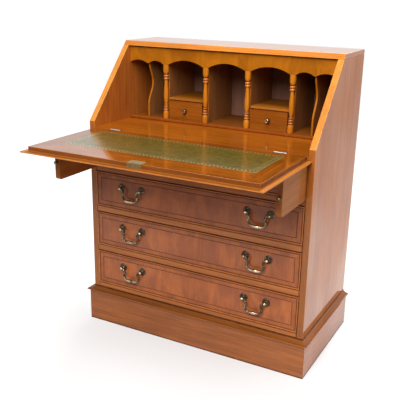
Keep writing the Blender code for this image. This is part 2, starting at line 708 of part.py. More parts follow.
def bail_mesh():
    """A swan-neck bail that hangs from its pins, with its axis on x."""
    post = POST_SPACING / 2
    elbow = post - POST_HEAD_RADIUS - BAIL_RADIUS / 2
    half = [(post + BAIL_PIN_DEPTH, 0.0, BAIL_PIN_RADIUS), (elbow, 0.0, BAIL_PIN_RADIUS),
            (elbow - BAIL_CURL, -BAIL_CURL * 1.3, BAIL_RADIUS),
            (elbow - BAIL_CURL * 1.5, -BAIL_CURL * 3.1, BAIL_RADIUS),
            (elbow - BAIL_CURL * 0.6, -BAIL_DROP * 0.58, BAIL_RADIUS),
            (elbow - BAIL_CURL * 1.1, -BAIL_DROP * 0.80, BAIL_RADIUS),
            (elbow - BAIL_CURL * 2.6, -BAIL_DROP * 0.95, BAIL_RADIUS)]
    grip = [(0.0, -BAIL_DROP, BAIL_GRIP_RADIUS)]
    points = half + grip + [(-x, z, radius) for x, z, radius in reversed(half)]
    curve = bpy.data.curves.new("bail", "CURVE")
    curve.dimensions = "3D"
    curve.bevel_depth = 1.0
    curve.bevel_resolution = 1
    curve.use_fill_caps = True
    curve.resolution_u = 3
    spline = curve.splines.new("BEZIER")
    spline.bezier_points.add(len(points) - 1)
    for index, (point, (x, z, radius)) in enumerate(zip(spline.bezier_points, points)):
        at_pin = index < 2 or index > len(points) - 3
        point.co = (x, 0.0, z)
        point.radius = radius
        point.handle_left_type = "VECTOR" if at_pin else "AUTO"
        point.handle_right_type = "VECTOR" if at_pin else "AUTO"
    return bake(bpy.data.objects.new("bail_curve", curve))


def drawers():
    """The upper drawer between the partitions and the long drawers below it, with their handles."""
    upper_width = 2 * (PARTITION_INNER - SLIDE_GAP)
    long_width = 2 * (INNER - SLIDE_GAP)
    head_room = TOUCH_GAP + SLIDE_GAP
    upper = drawer_mesh(upper_width, LOPER_OPENING - head_room)
    long_drawer = drawer_mesh(long_width, DRAWER_OPENING - head_room)
    mount = handle_mount_mesh()
    bail = bail_mesh()
    feet = [LOPER_FLOOR]
    feet += [FIRST_OPENING + index * DRAWER_PITCH for index in reversed(range(LONG_DRAWER_COUNT))]
    for number, foot in enumerate(feet, start=1):
        opening = LOPER_OPENING if number == 1 else DRAWER_OPENING
        centre = Vector((0.0, FRONT, foot + TOUCH_GAP + (opening - head_room) / 2))
        slide = empty(f"drawer_{number}_slide", centre)
        drawer = bpy.data.objects.new(f"drawer_{number}", upper if number == 1 else long_drawer)
        drawer.location = centre
        link(drawer, FRONT_WOOD, slide)
        for side, sign in SIDES:
            axis = centre + Vector((sign * HANDLE_OFFSET, -POST_REACH, HANDLE_RISE))
            for kind, mesh in (("handle_mount", mount), ("bail", bail)):
                piece = bpy.data.objects.new(f"{kind}_{number}_{side}", mesh)
                piece.location = axis
                link(piece, BRASS, slide)


# Fitment

def fitment_boards():
    """Base board and arched valance."""
    inner_board("fitment_base", BED_TOP + TOUCH_GAP, FITMENT_FLOOR,
                COLUMN_Y - COLUMN_RADIUS - FITMENT_BASE_NOSE, EDGE_WOOD)
    half = INNER - TOUCH_GAP
    narrow = SERPENTINE_THICKNESS / 2
    stops = [(-SERPENTINE_X, narrow), *[(x, COLUMN_RADIUS) for x in COLUMN_XS], (SERPENTINE_X, narrow)]
    tips = [(x - reach, x + reach) for x, reach in stops]
    starts = [-half] + [tip[1] for tip in tips]
    ends = [tip[0] for tip in tips] + [half]
    outline = []
    for start, end in zip(starts, ends):
        wide = end - start > COLUMN_SPACING / 2
        outline += arch(start, end, ARCH_SPRING, WIDE_ARCH_RISE if wide else NARROW_ARCH_RISE)
    top = TOP_UNDERSIDE - TOUCH_GAP
    outline += [(half, top), (-half, top)]
    link(prism("valance", outline, VALANCE_FRONT, VALANCE_BACK, "XZ"), EDGE_WOOD)


def bead(top, height, belly):
    """Two points of a column's bead, from its neck at the top to its belly."""
    return [(COLUMN_NECK_RADIUS, top), (belly, top - height / 2)]


def column_profile():
    """A column as (radius, height) points, from its cap down to its foot."""
    cap = COLUMN_CAP_SHARE * COLUMN_HEIGHT
    ring = COLUMN_RING_SHARE * COLUMN_HEIGHT
    small_bead = COLUMN_BEAD_SHARE * COLUMN_HEIGHT
    foot = COLUMN_FOOT_SHARE * COLUMN_HEIGHT
    cap_foot = COLUMN_HEIGHT - cap
    ring_top = cap_foot - COLUMN_NECK_SHARE * COLUMN_HEIGHT
    shaft_top = ring_top - 2 * ring
    beads_top = foot + 4 * small_bead
    shaft = shaft_top - beads_top
    swell = COLUMN_SHAFT_RADIUS - COLUMN_NECK_RADIUS
    profile = [(0.0, COLUMN_HEIGHT), (COLUMN_RADIUS * 0.95, COLUMN_HEIGHT),
               (COLUMN_RADIUS, COLUMN_HEIGHT - cap * 0.35), (COLUMN_RADIUS * 0.95, cap_foot + cap * 0.25),
               (COLUMN_RADIUS * 0.75, cap_foot + cap * 0.04), (COLUMN_NECK_RADIUS, cap_foot)]
    for index in range(2):
        profile += bead(ring_top - index * ring, ring, COLUMN_RING_RADIUS)
    for share in (0.0, 0.25, 0.5, 0.75, 0.92):
        radius = COLUMN_NECK_RADIUS + swell * math.sin(math.pi * share ** 1.6)
        profile.append((radius, shaft_top - shaft * share))
    for index in range(4):
        profile += bead(beads_top - index * small_bead, small_bead, COLUMN_BEAD_RADIUS)
    profile += [(COLUMN_NECK_RADIUS, foot), (COLUMN_RADIUS * 0.7, foot * 0.95),
                (COLUMN_RADIUS * 0.95, foot * 0.7), (COLUMN_RADIUS * 0.95, foot * 0.25),
                (COLUMN_RADIUS * 0.85, 0.0), (0.0, 0.0)]
    return profile


def columns():
    """Four turned columns under the valance."""
    mesh = bake(turned("column_profile", column_profile()))
    for number, x in enumerate(COLUMN_XS, start=1):
        column = bpy.data.objects.new(f"column_{number}", mesh)
        column.location = (x, COLUMN_Y, COLUMN_FOOT)
        link(column, EDGE_WOOD)


def drawer_housings():
    """Two dividers and a shelf on each side of the middle bay, each set one glued piece."""
    foot = FITMENT_FLOOR + TOUCH_GAP
    top = TOP_UNDERSIDE - TOUCH_GAP
    shelf_top = SHELF_UNDERSIDE + SHELF_THICKNESS
    half = DIVIDER_THICKNESS / 2
    for side, left, right in (("left", COLUMN_XS[0], COLUMN_XS[1]), ("right", COLUMN_XS[2], COLUMN_XS[3])):
        below = [(left - half, foot), (left + half, foot), (left + half, SHELF_UNDERSIDE),
                 (right - half, SHELF_UNDERSIDE), (right - half, foot), (right + half, foot)]
        above = [(right + half, top), (right - half, top), (right - half, shelf_top),
                 (left + half, shelf_top), (left + half, top), (left - half, top)]
        housing = prism(f"drawer_housing_{side}", below + above, DIVIDER_FRONT, BACK_FACE - TOUCH_GAP, "XZ")
        link(housing, CASE_WOOD)


def serpentine_dividers():
    """Thin dividers whose front edge runs back in an ogee between foot and valance."""
    foot = FITMENT_FLOOR + TOUCH_GAP
    top = TOP_UNDERSIDE - TOUCH_GAP
    rear = BACK_FACE - TOUCH_GAP
    start = FITMENT_FLOOR + SERPENTINE_FOOT_HEIGHT
    edge = VALANCE_BACK + TOUCH_GAP
    ogee = []
    for index in range(13):
        share = index / 12
        recess = SERPENTINE_RECESS * (1 - math.cos(2 * math.pi * share)) / 2
        bulge = SERPENTINE_FOOT * (1 + math.cos(math.pi * share)) / 2
        ogee.append((edge + recess - bulge, start + (ARCH_SPRING - start) * share))
    outline = [(rear, foot), (rear, top), (edge, top), *reversed(ogee), (edge - SERPENTINE_FOOT, foot)]
    half = SERPENTINE_THICKNESS / 2
    for side, sign in SIDES:
        centre = sign * SERPENTINE_X
        link(prism(f"serpentine_divider_{side}", outline, centre - half, centre + half, "YZ"), CASE_WOOD)


def small_drawers():
    """The two small drawers under the shelves, each with a turned knob."""
    width = COLUMN_SPACING - 2 * COLUMN_RADIUS - 2 * SLIDE_GAP
    height = SMALL_DRAWER_OPENING - TOUCH_GAP - SLIDE_GAP
    length = BACK_FACE - SMALL_BACK_ROOM - COLUMN_Y
    half = width / 2
    wall = SMALL_WALL_THICKNESS
    front = box("front", (-half, 0.0, 0.0), (half, SMALL_FRONT_THICKNESS, height))
    body = box("body", (-half, SMALL_FRONT_THICKNESS / 2, 0.0), (half, length, height - SMALL_SIDE_DROP))
    pocket = box("pocket", (-half + wall, SMALL_FRONT_THICKNESS, SMALL_FLOOR_THICKNESS),
                 (half - wall, length - wall, height + SMALL_SIDE_DROP))
    combine(front, [body], "UNION")
    combine(front, [pocket], "DIFFERENCE")
    shift = front.location.copy()
    mesh = bake(front, [body, pocket])
    mesh.transform(Matrix.Translation(shift))
    for side, sign in SIDES:
        x = sign * COLUMN_SPACING
        place = Vector((x, COLUMN_Y, FITMENT_FLOOR + TOUCH_GAP))
        slide = empty(f"small_drawer_{side}_slide", place)
        drawer = bpy.data.objects.new(f"small_drawer_{side}", mesh)
        drawer.location = place
        link(drawer, EDGE_WOOD, slide)
        seat = (x, COLUMN_Y, place.z + height / 2)
        knob(f"small_knob_{side}", SMALL_KNOB_RADIUS, SMALL_KNOB_LENGTH, seat, slide)


def build():
    """Model the whole bureau."""
    side_panels()
    top_board()
    carcase_boards()
    partitions()
    writing_bed()
    plinth()
    pivot = empty("fall_pivot", (0.0, HINGE_Y, BED_TOP))
    fall_panel(pivot)
    fall_fittings(pivot)
    hinge_leaves(pivot)
    lopers()
    drawers()
    fitment_boards()
    columns()
    drawer_housings()
    serpentine_dividers()
    small_drawers()


build()
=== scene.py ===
"""Dressed model of a slant-front writing bureau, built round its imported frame.

The front faces -Y, +Z is up and lengths are in metres. Boards, mouldings, turnings and brassware are
modelled where the frame puts them, and every surface has a finish made of shader nodes.
"""

import json
import logging
import math
from collections.abc import Callable, Iterator, Sequence
from contextlib import contextmanager
from dataclasses import dataclass, replace
from enum import Enum
from functools import cache
from typing import Any, Protocol

import bmesh
import bpy
from mathutils import Matrix, Vector


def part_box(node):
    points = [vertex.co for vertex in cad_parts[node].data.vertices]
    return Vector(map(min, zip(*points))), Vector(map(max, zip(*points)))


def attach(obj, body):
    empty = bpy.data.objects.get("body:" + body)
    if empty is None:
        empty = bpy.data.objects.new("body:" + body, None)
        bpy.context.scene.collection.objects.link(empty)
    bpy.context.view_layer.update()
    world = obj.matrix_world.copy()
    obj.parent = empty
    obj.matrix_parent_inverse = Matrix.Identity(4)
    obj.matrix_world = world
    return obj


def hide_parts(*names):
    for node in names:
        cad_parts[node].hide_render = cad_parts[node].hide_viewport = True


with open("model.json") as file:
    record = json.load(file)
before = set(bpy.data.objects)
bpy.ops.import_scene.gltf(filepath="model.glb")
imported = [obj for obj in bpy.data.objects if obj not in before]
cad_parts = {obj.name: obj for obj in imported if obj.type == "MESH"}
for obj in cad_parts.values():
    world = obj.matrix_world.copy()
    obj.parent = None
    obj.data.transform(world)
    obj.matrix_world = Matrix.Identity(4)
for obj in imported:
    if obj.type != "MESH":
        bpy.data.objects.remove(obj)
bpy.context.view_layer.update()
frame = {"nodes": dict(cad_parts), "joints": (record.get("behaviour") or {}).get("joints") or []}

LOG = logging.getLogger("bureau")
SIDES = (("left", -1), ("right", 1))
# Numbers of the four drawers, and of the four columns
NUMBERS = range(1, 5)
ORIGIN = (0.0, 0.0, 0.0)
# How far apart the drawers' fronts were cut from the veneer
VENEER_STEP = (0.31, 0.17)
# Gap between pieces that fit, and how near lengths are equal or corners become one
TOUCH = 0.0003
NEAR = 1e-4
CLOSE = 1e-5
MERGE = 1e-6
# Attributes of faces that the finishes read: how far a face is rubbed, and where shade is painted on it
RUB = "rub"
SHADE_MARK = "soil"
# Angles past which an edge is sharp enough to ease, and up to which a surface is shaded smooth
SHARP = math.radians(20.0)
SMOOTH = math.radians(40.0)

Colour = tuple[float, float, float]
Point = tuple[float, float, float]
Pair = tuple[float, float]
Profile = list[Pair]
Place = Sequence[float]
Piece = bpy.types.Object
Socket = bpy.types.NodeSocket
Node = bpy.types.Node
Material = bpy.types.Material
Tree = bpy.types.NodeTree
Test = Callable[[Any], bool]


class Slot(Enum):
    """Material slots of the record."""

    CASE = "case_wood"
    FRONT = "front_wood"
    EDGE = "edge_wood"
    BACK = "back_wood"
    BRASS = "antique_brass"
    LEATHER = "green_leather"


class Grain(Enum):
    """Turn of a board's grain frame, whose X runs along the grain."""

    ALONG_X = (0.0, 0.0, 0.0)
    ALONG_Y = (0.0, 0.0, math.pi / 2)
    ALONG_Z = (0.0, -math.pi / 2, 0.0)


class Plane(Enum):
    """Turn of a panel's frame, whose X runs across the panel and Y up it."""

    LEVEL = (0.0, 0.0, 0.0)
    FRONT = (math.pi / 2, 0.0, 0.0)


class Axis(Enum):
    """Turn that stands a turned piece up, forwards or downwards."""

    UP = (0.0, 0.0, 0.0)
    FORWARD = (math.pi / 2, 0.0, 0.0)
    BACKWARD = (-math.pi / 2, 0.0, 0.0)
    DOWN = (math.pi, 0.0, 0.0)


class Pick(Enum):
    """Kind of mesh part that is selected."""

    EDGE = "EDGE"
    FACE = "FACE"


class Joinery(Enum):
    """How a tool meets a piece."""

    UNION = "UNION"
    CUT = "DIFFERENCE"


class Curl(Enum):
    """Which way a quarter round of a profile sets off."""

    OUT_FIRST = "out"
    DOWN_FIRST = "down"


# Bench work


def clear_selection() -> None:
    """Deselect every object."""
    bpy.ops.object.select_all(action="DESELECT")


def focus(piece: Piece) -> None:
    """Select one piece alone and make it active."""
    clear_selection()
    piece.select_set(True)
    bpy.context.view_layer.objects.active = piece


@contextmanager
def editing(piece: Piece) -> Iterator[None]:
    """Hold one piece in edit mode.

    Args:
        piece: The piece to edit.
    """
    focus(piece)
    bpy.ops.object.mode_set(mode="EDIT")
    yield
    bpy.ops.object.mode_set(mode="OBJECT")


def select_all() -> None:
    """Select the whole of the edited piece."""
    bpy.ops.mesh.select_all(action="SELECT")


def pick(piece: Piece, kind: Pick, test: Test) -> int:
    """Select the edges or faces of an edited piece that pass a test.

    Args:
        piece: The piece in edit mode.
        kind: Edges or faces.
        test: True for a part to select.

    Returns:
        How many parts were selected.
    """
    bpy.ops.mesh.select_mode(type=kind.value)
    bpy.ops.mesh.select_all(action="DESELECT")
    mesh = bmesh.from_edit_mesh(piece.data)
    chosen = [part for part in (mesh.edges if kind is Pick.EDGE else mesh.faces) if test(part)]
    for part in chosen:
        part.select_set(True)
    bmesh.update_edit_mesh(piece.data)
    return len(chosen)


def settle(name: str) -> Piece:
    """Name the new active object and put its place in its mesh.

    Args:
        name: The piece's name.

    Returns:
        The piece, at the origin, unturned and unscaled.
    """
    piece = bpy.context.object
    piece.name = name
    piece.data.name = name
    bpy.ops.object.transform_apply(location=True, rotation=True, scale=True)
    return piece


def block(name: str, low: Place, high: Place) -> Piece:
    """Add a cube between two corners.

    Args:
        name: The piece's name.
        low: Lowest corner.
        high: Highest corner.

    Returns:
        The block.
    """
    clear_selection()
    size = Vector(high) - Vector(low)
    bpy.ops.mesh.primitive_cube_add(size=1.0, location=(Vector(low) + Vector(high)) / 2, scale=size)
    return settle(name)


def rod(name: str, radius: float, start: Place, end: Place, sides: int = 40) -> Piece:
    """Add a cylinder between two points.

    Args:
        name: The piece's name.
        radius: Its radius.
        start: Centre of one end.
        end: Centre of the other end.
        sides: How many sides stand for its round.

    Returns:
        The rod.
    """
    clear_selection()
    run = Vector(end) - Vector(start)
    bpy.ops.mesh.primitive_cylinder_add(vertices=sides, radius=radius, depth=run.length,
                                        location=(Vector(start) + Vector(end)) / 2,
                                        rotation=run.to_track_quat("Z", "Y").to_euler())
    return settle(name)


def carve(piece: Piece, tools: Sequence[Piece], how: Joinery = Joinery.CUT) -> None:
    """Cut tools out of a piece or join them to it, and remove them.

    Args:
        piece: The piece to change.
        tools: Closed meshes.
        how: Cut or union.
    """
    for tool in tools:
        focus(piece)
        boolean = piece.modifiers.new("carve", "BOOLEAN")
        boolean.operation = how.value
        boolean.solver = "EXACT"
        boolean.object = tool
        bpy.ops.object.modifier_apply(modifier=boolean.name)
        bpy.data.objects.remove(tool)


def saw(piece: Piece, point: Place, normal: Place, discard: bool = True) -> None:
    """Bisect a piece with a plane.

    Args:
        piece: The piece to saw.
        point: A point of the plane.
        normal: The plane's normal, towards the side that falls away.
        discard: False to keep both sides as one mesh.
    """
    with editing(piece):
        select_all()
        bpy.ops.mesh.bisect(plane_co=point, plane_no=Vector(normal).normalized(), use_fill=discard,
                            clear_outer=discard, threshold=MERGE)


def mark(piece: Piece, kind: str, amount: Callable[[Any], float]) -> None:
    """Write how far each selected face of an edited piece is rubbed, or how far it carries painted shade.

    Args:
        piece: The piece in edit mode.
        kind: RUB or SHADE_MARK.
        amount: The share of a face, from 0 to 1.
    """
    mesh = bmesh.from_edit_mesh(piece.data)
    layer = mesh.faces.layers.float.get(kind) or mesh.faces.layers.float.new(kind)
    for face in mesh.faces:
        if face.select:
            face[layer] = amount(face)
    bmesh.update_edit_mesh(piece.data)


def rub(piece: Piece, amount: Callable[[Any], float]) -> None:
    """Write how far every face of a piece is rubbed.

    Args:
        piece: The piece.
        amount: The share of a face, from 0 to 1.
    """
    with editing(piece):
        select_all()
        mark(piece, RUB, amount)


def soil(piece: Piece, test: Test) -> None:
    """Mark the faces of a piece that pass a test as carrying painted shade.

    Args:
        piece: The piece.
        test: True for a face to mark.
    """
    with editing(piece):
        pick(piece, Pick.FACE, test)
        mark(piece, SHADE_MARK, lambda face: 1.0)


def ease(piece: Piece, width: float, segments: int = 3, test: Test | None = None) -> None:
    """Round the sharp edges of a piece and mark the new faces as rubbed, which woods show lighter as wear and
    as painted highlight.

    Args:
        piece: The piece.
        width: How far the round reaches from the edge.
        segments: Facets across the round.
        test: True for an edge to round; all sharp edges without it.
    """
    narrow = 1.5 * width
    with editing(piece):
        select_all()
        bpy.ops.mesh.remove_doubles(threshold=MERGE)
        found = pick(piece, Pick.EDGE, lambda edge: edge.calc_face_angle(0.0) > SHARP
                     and (test is None or test(edge)))
        if found:
            bpy.ops.mesh.bevel(offset_type="OFFSET", offset=width, segments=segments, profile=0.5,
                               affect="EDGES", clamp_overlap=True)
            bpy.ops.mesh.remove_doubles(threshold=MERGE)
            mark(piece, RUB, lambda face: float(breadth(face) < narrow))


def weld(threshold: float = MERGE) -> None:
    """Merge the doubles of the edited piece and turn its faces outwards."""
    select_all()
    bpy.ops.mesh.remove_doubles(threshold=threshold)
    bpy.ops.mesh.normals_make_consistent(inside=False)


def breadth(face: Any) -> float:
    """How wide a face is across its longest edge."""
    return face.calc_area() / max(edge.calc_length() for edge in face.edges)


def centre_of(face: Any) -> Vector:
    """The centre of a face."""
    return face.calc_center_median()


def middle(edge: Any) -> Vector:
    """The middle of an edge."""
    return (edge.verts[0].co + edge.verts[1].co) / 2


def inside(spot: Vector, low: Vector, high: Vector) -> bool:
    """True if a point of a front lies within a box, seen from the front."""
    return low.x < spot.x < high.x and low.z < spot.z < high.z


def sharper(degrees: float) -> Test:
    """A test for edges that are sharper than an angle."""
    return lambda edge: edge.calc_face_angle(0.0) > math.radians(degrees)


def foremost(front: float) -> Test:
    """A test for edges at a piece's front, whose y is given."""
    return lambda edge: middle(edge).y < front + NEAR


def facing_front(share: float = 0.9) -> Test:
    """A test for faces that look forwards by more than a share of their normal."""
    return lambda face: face.normal.y < -share


def copy_of(piece: Piece, name: str, shift: Place) -> Piece:
    """Copy a piece with its own mesh and put the copy elsewhere.

    Args:
        piece: The model.
        name: The copy's name.
        shift: How far the copy is moved.

    Returns:
        The copy.
    """
    focus(piece)
    bpy.ops.object.duplicate(linked=False)
    bpy.context.object.location = shift
    return settle(name)


def gather(piece: Piece, others: Sequence[Piece]) -> Piece:
    """Join other shells into a piece.

    Args:
        piece: The piece that stays.
        others: The shells that become part of it.

    Returns:
        The piece.
    """
    focus(piece)
    for other in others:
        other.select_set(True)
    bpy.ops.object.join()
    return piece


def shade(piece: Piece) -> None:
    """Shade the rounds of a piece smooth, with its broad faces kept flat.

    Args:
        piece: The piece.
    """
    focus(piece)
    bpy.ops.object.shade_smooth_by_angle(angle=SMOOTH)
    weigh = piece.modifiers.new("weigh", "WEIGHTED_NORMAL")
    weigh.keep_sharp = True
    bpy.ops.object.modifier_apply(modifier=weigh.name)


def quarter(start: Pair, end: Pair, curl: Curl, steps: int) -> Profile:
    """Points of a quarter round between two points of a turned profile, without the first.

    Args:
        start: (radius, height) where it begins.
        end: (radius, height) where it ends.
        curl: Whether it sets off across or along the axis.
        steps: How many points.

    Returns:
        The (radius, height) points.
    """
    points = []
    for index in range(1, steps + 1):
        angle = math.pi / 2 * index / steps
        across, along = math.sin(angle), 1 - math.cos(angle)
        if curl is Curl.DOWN_FIRST:
            across, along = along, across
        points.append((start[0] + (end[0] - start[0]) * across, start[1] + (end[1] - start[1]) * along))
    return points


def draw(points: Sequence[Place]) -> Piece:
    """Extrude one vertex from point to point.

    Args:
        points: The points in order.

    Returns:
        The chain of edges.
    """
    clear_selection()
    bpy.ops.mesh.primitive_plane_add(size=0.01)
    piece = bpy.context.object
    with editing(piece):
        bpy.ops.mesh.select_mode(type="VERT")
        select_all()
        bpy.ops.mesh.merge(type="CENTER")
        bpy.ops.transform.translate(value=points[0])
        for here, there in zip(points, points[1:]):
            bpy.ops.mesh.extrude_region_move(TRANSFORM_OT_translate={"value": Vector(there) - Vector(here)})
    return piece


def lathe(name: str, profile: Profile, seat: Place, axis: Axis, steps: int = 40) -> Piece:
    """Draw a profile and spin it.

    Args:
        name: The piece's name.
        profile: (radius, height) points.
        seat: Where height 0 of the axis stands.
        axis: Which way the axis points.
        steps: Facets around the axis.

    Returns:
        The turned piece.
    """
    piece = draw([(radius, 0.0, height) for radius, height in profile])
    with editing(piece):
        select_all()
        bpy.ops.mesh.spin(steps=steps, angle=math.tau, center=ORIGIN, axis=(0.0, 0.0, 1.0))
        weld(CLOSE)
    piece.rotation_euler = axis.value
    piece.location = seat
    return settle(name)


# Shader nodes


class Graph:
    """Adds and links the nodes of one tree."""

    def __init__(self, tree: Tree) -> None:
        """Work on a tree."""
        self.tree = tree

    def node(self, kind: str, inputs: dict[Any, Any] | None = None, **settings: Any) -> Node:
        """Add a node.

        Args:
            kind: The node's type, without ShaderNode.
            inputs: Sockets or values for its inputs.
            settings: The node's own settings.

        Returns:
            The node.
        """
        node = self.tree.nodes.new("ShaderNode" + kind)
        for key, value in settings.items():
            setattr(node, key, value)
        self.fill(node, inputs or {})
        return node

    def fill(self, node: Node, inputs: dict[Any, Any]) -> None:
        """Feed sockets or values into a node's inputs."""
        for key, value in inputs.items():
            self.feed(node.inputs[key], value)

    def feed(self, socket: Socket, value: Any) -> None:
        """Link a socket into an input, or set the input's value."""
        if isinstance(value, Socket):
            self.tree.links.new(value, socket)
        else:
            socket.default_value = value

    def math(self, operation: str, first: Any, second: Any = 0.0, clamp: bool = False) -> Socket:
        """Add a Math node and return its output."""
        node = self.node("Math", {0: first, 1: second}, operation=operation, use_clamp=clamp)
        return node.outputs[0]

    def times(self, first: Any, second: Any) -> Socket:
        """Multiply two values."""
        return self.math("MULTIPLY", first, second)

    def ramp(self, value: Any, low: float, high: float, start: float = 0.0, end: float = 1.0) -> Socket:
        """Map a value smoothly from one range to another.

        Args:
            value: The value to map.
            low: Where the result is start.
            high: Where the result is end.
            start: First result.
            end: Last result.

        Returns:
            The mapped value.
        """
        node = self.node("MapRange", {"Value": value, "From Min": low, "From Max": high,
                                      "To Min": start, "To Max": end}, interpolation_type="SMOOTHSTEP")
        return node.outputs[0]

    def blend(self, factor: Any, first: Any, second: Any) -> Socket:
        """Mix two colours by a factor."""
        pair = [value if isinstance(value, Socket) else (*value, 1.0) for value in (first, second)]
        node = self.node("Mix", {0: factor, 6: pair[0], 7: pair[1]}, data_type="RGBA")
        return node.outputs[2]

    def choose(self, factor: Any, first: Socket, second: Socket) -> Socket:
        """Mix two vectors by a factor."""
        return self.node("Mix", {0: factor, 4: first, 5: second}, data_type="VECTOR").outputs[1]

    def stretch(self, vector: Socket, scale: Place) -> Socket:
        """Multiply a vector part by part."""
        return self.node("VectorMath", {0: vector, 1: scale}, operation="MULTIPLY").outputs[0]

    def noise(self, vector: Socket, scale: float = 1.0, detail: float = 3.0,
              distortion: float = 0.0) -> Socket:
        """Add a noise texture and return its value."""
        node = self.node("TexNoise", {"Vector": vector, "Scale": scale, "Detail": detail,
                                      "Distortion": distortion})
        return node.outputs[0]

    def turn(self, vector: Socket, place: Place, turn: Place) -> Socket:
        """Read a vector in a frame that is moved and turned."""
        node = self.node("Mapping", {"Vector": vector, "Location": place, "Rotation": turn},
                         vector_type="TEXTURE")
        return node.outputs[0]

    def group(self, tree: Tree, inputs: dict[str, Any]) -> Any:
        """Place a node group and return its outputs."""
        return self.node("Group", inputs, node_tree=tree).outputs

    def relief(self, height: Socket, strength: float, depth: float, invert: bool = False) -> Socket:
        """Add a Bump node and return its normal."""
        node = self.node("Bump", {"Height": height, "Strength": strength, "Distance": depth}, invert=invert)
        return node.outputs[0]


def new_group(name: str, inputs: Sequence[str], outputs: Sequence[str]) -> tuple[Graph, Any, Any]:
    """Start a node group, whose input Vector is a vector and whose other sockets are numbers.

    Args:
        name: The group's name.
        inputs: Names of its inputs.
        outputs: Names of its outputs.

    Returns:
        The group's graph, the sockets that come in and those that go out.
    """
    tree = bpy.data.node_groups.new(name, "ShaderNodeTree")
    for names, way in ((inputs, "INPUT"), (outputs, "OUTPUT")):
        for each in names:
            kind = "NodeSocketVector" if each == "Vector" else "NodeSocketFloat"
            tree.interface.new_socket(name=each, in_out=way, socket_type=kind)
    graph = Graph(tree)
    return graph, tree.nodes.new("NodeGroupInput").outputs, tree.nodes.new("NodeGroupOutput").inputs


# How often each layer of a wood's figure changes in a metre, along the grain and across it
CLOUDS = (1.4, 9.0, 9.0)
BANDS = (3.0, 70.0, 70.0)
BLOTCHES = (8.0, 15.0, 15.0)
STREAKS = (9.0, 380.0, 380.0)
PORES = (42.0, 1500.0, 1500.0)
CLOUD_SHARE = 0.6
BAND_SHARE = 0.4


@cache
def wood_figure() -> Tree:
    """Group: broad tone, fine streaks and pores of a wood whose grain runs along X."""
    graph, given, result = new_group("wood_figure", ["Vector", "Mottle"], ["Tone", "Streak", "Pores"])

    def layer(scale: Point, detail: float, distortion: float = 0.0) -> Socket:
        """Noise that is drawn out along the grain."""
        return graph.noise(graph.stretch(given["Vector"], scale), detail=detail, distortion=distortion)

    cloud = graph.times(layer(CLOUDS, 4.0, 0.9), CLOUD_SHARE)
    bands = graph.times(layer(BANDS, 3.0, 0.5), BAND_SHARE)
    mixed = graph.node("Mix", {0: given["Mottle"], 2: graph.math("ADD", cloud, bands),
                               3: layer(BLOTCHES, 4.0, 1.0)}, data_type="FLOAT")
    graph.feed(result["Tone"], graph.ramp(mixed.outputs[0], 0.36, 0.64))
    graph.feed(result["Streak"], graph.ramp(layer(STREAKS, 2.0), 0.42, 0.70))
    graph.feed(result["Pores"], graph.ramp(layer(PORES, 1.0), 0.58, 0.70))
    return graph.tree


@cache
def edge_rub() -> Tree:
    """Group: where a rounded edge has been rubbed, unevenly along its length; woods lighten there partly as
    wear and partly as painted highlight.
    """
    graph, given, result = new_group("edge_rub", ["Vector"], ["Mask"])
    marked = graph.node("Attribute", attribute_name=RUB, attribute_type="GEOMETRY")
    patchy = graph.ramp(graph.noise(given["Vector"], scale=55.0, detail=3.0), 0.35, 0.62, 0.25, 1.0)
    graph.feed(result["Mask"], graph.times(marked.outputs["Fac"], patchy))
    return graph.tree


@cache
def marked_shade() -> Tree:
    """Group: where shade is painted, unevenly."""
    graph, given, result = new_group("marked_shade", ["Vector"], ["Mask"])
    marked = graph.node("Attribute", attribute_name=SHADE_MARK, attribute_type="GEOMETRY")
    patchy = graph.ramp(graph.noise(given["Vector"], scale=90.0, detail=2.0), 0.30, 0.60, 0.55, 1.0)
    graph.feed(result["Mask"], graph.times(marked.outputs["Fac"], patchy))
    return graph.tree


@cache
def border_distance() -> Tree:
    """Group: distance from a rectangle's nearest edge, place along it, and whether it is upright."""
    graph, given, result = new_group("border_distance", ["Vector", "Half Width", "Half Height"],
                                     ["Distance", "Along", "Upright"])
    parts = graph.node("SeparateXYZ", {0: given["Vector"]}).outputs
    to_side = graph.math("SUBTRACT", given["Half Width"], graph.math("ABSOLUTE", parts[0]))
    to_level = graph.math("SUBTRACT", given["Half Height"], graph.math("ABSOLUTE", parts[1]))
    upright = graph.math("LESS_THAN", to_side, to_level)
    graph.feed(result["Distance"], graph.math("MINIMUM", to_side, to_level))
    graph.feed(result["Upright"], upright)
    along = graph.node("Mix", {0: upright, 2: parts[0], 3: parts[1]}, data_type="FLOAT")
    graph.feed(result["Along"], along.outputs[0])
    return graph.tree


@cache
def inlay_line() -> Tree:
    """Group: a thin line at a set distance from an edge."""
    graph, given, result = new_group("inlay_line", ["Distance", "Place", "Width"], ["Mask"])
    off = graph.math("ABSOLUTE", graph.math("SUBTRACT", given["Distance"], given["Place"]))
    share = graph.math("DIVIDE", off, given["Width"])
    graph.feed(result["Mask"], graph.ramp(share, 0.35, 0.65, 1.0, 0.0))
    return graph.tree


def border_of(graph: Graph, local: Socket, half_width: float, half_height: float) -> Any:
    """Place the border group on a panel's own coordinates and return its outputs."""
    return graph.group(border_distance(), {"Vector": local, "Half Width": half_width,
                                           "Half Height": half_height})


def line_at(graph: Graph, border: Any, place: float, width: float) -> Socket:
    """Mask of a line at a set distance from the edge that a border group measures."""
    return graph.group(inlay_line(), {"Distance": border["Distance"], "Place": place, "Width": width})["Mask"]


# Finishes

# Tone of a detail against the wood's own colours, and how far it covers them; rubbed edges are lighter partly
# as a painted highlight, and the marked and depth tones are painted shade
STREAK_SHADE = 0.55
PORE_SHADE = 0.3
PORE_COVER = 0.35
WORN_EDGE_HIGHLIGHT = 1.35
WORN_EDGE_HIGHLIGHT_COVER = 0.45
PAINTED_SHADE_TONE = 0.22
PAINTED_SHADE_COVER = 0.85
DEPTH_SHADE_TONE = 0.3
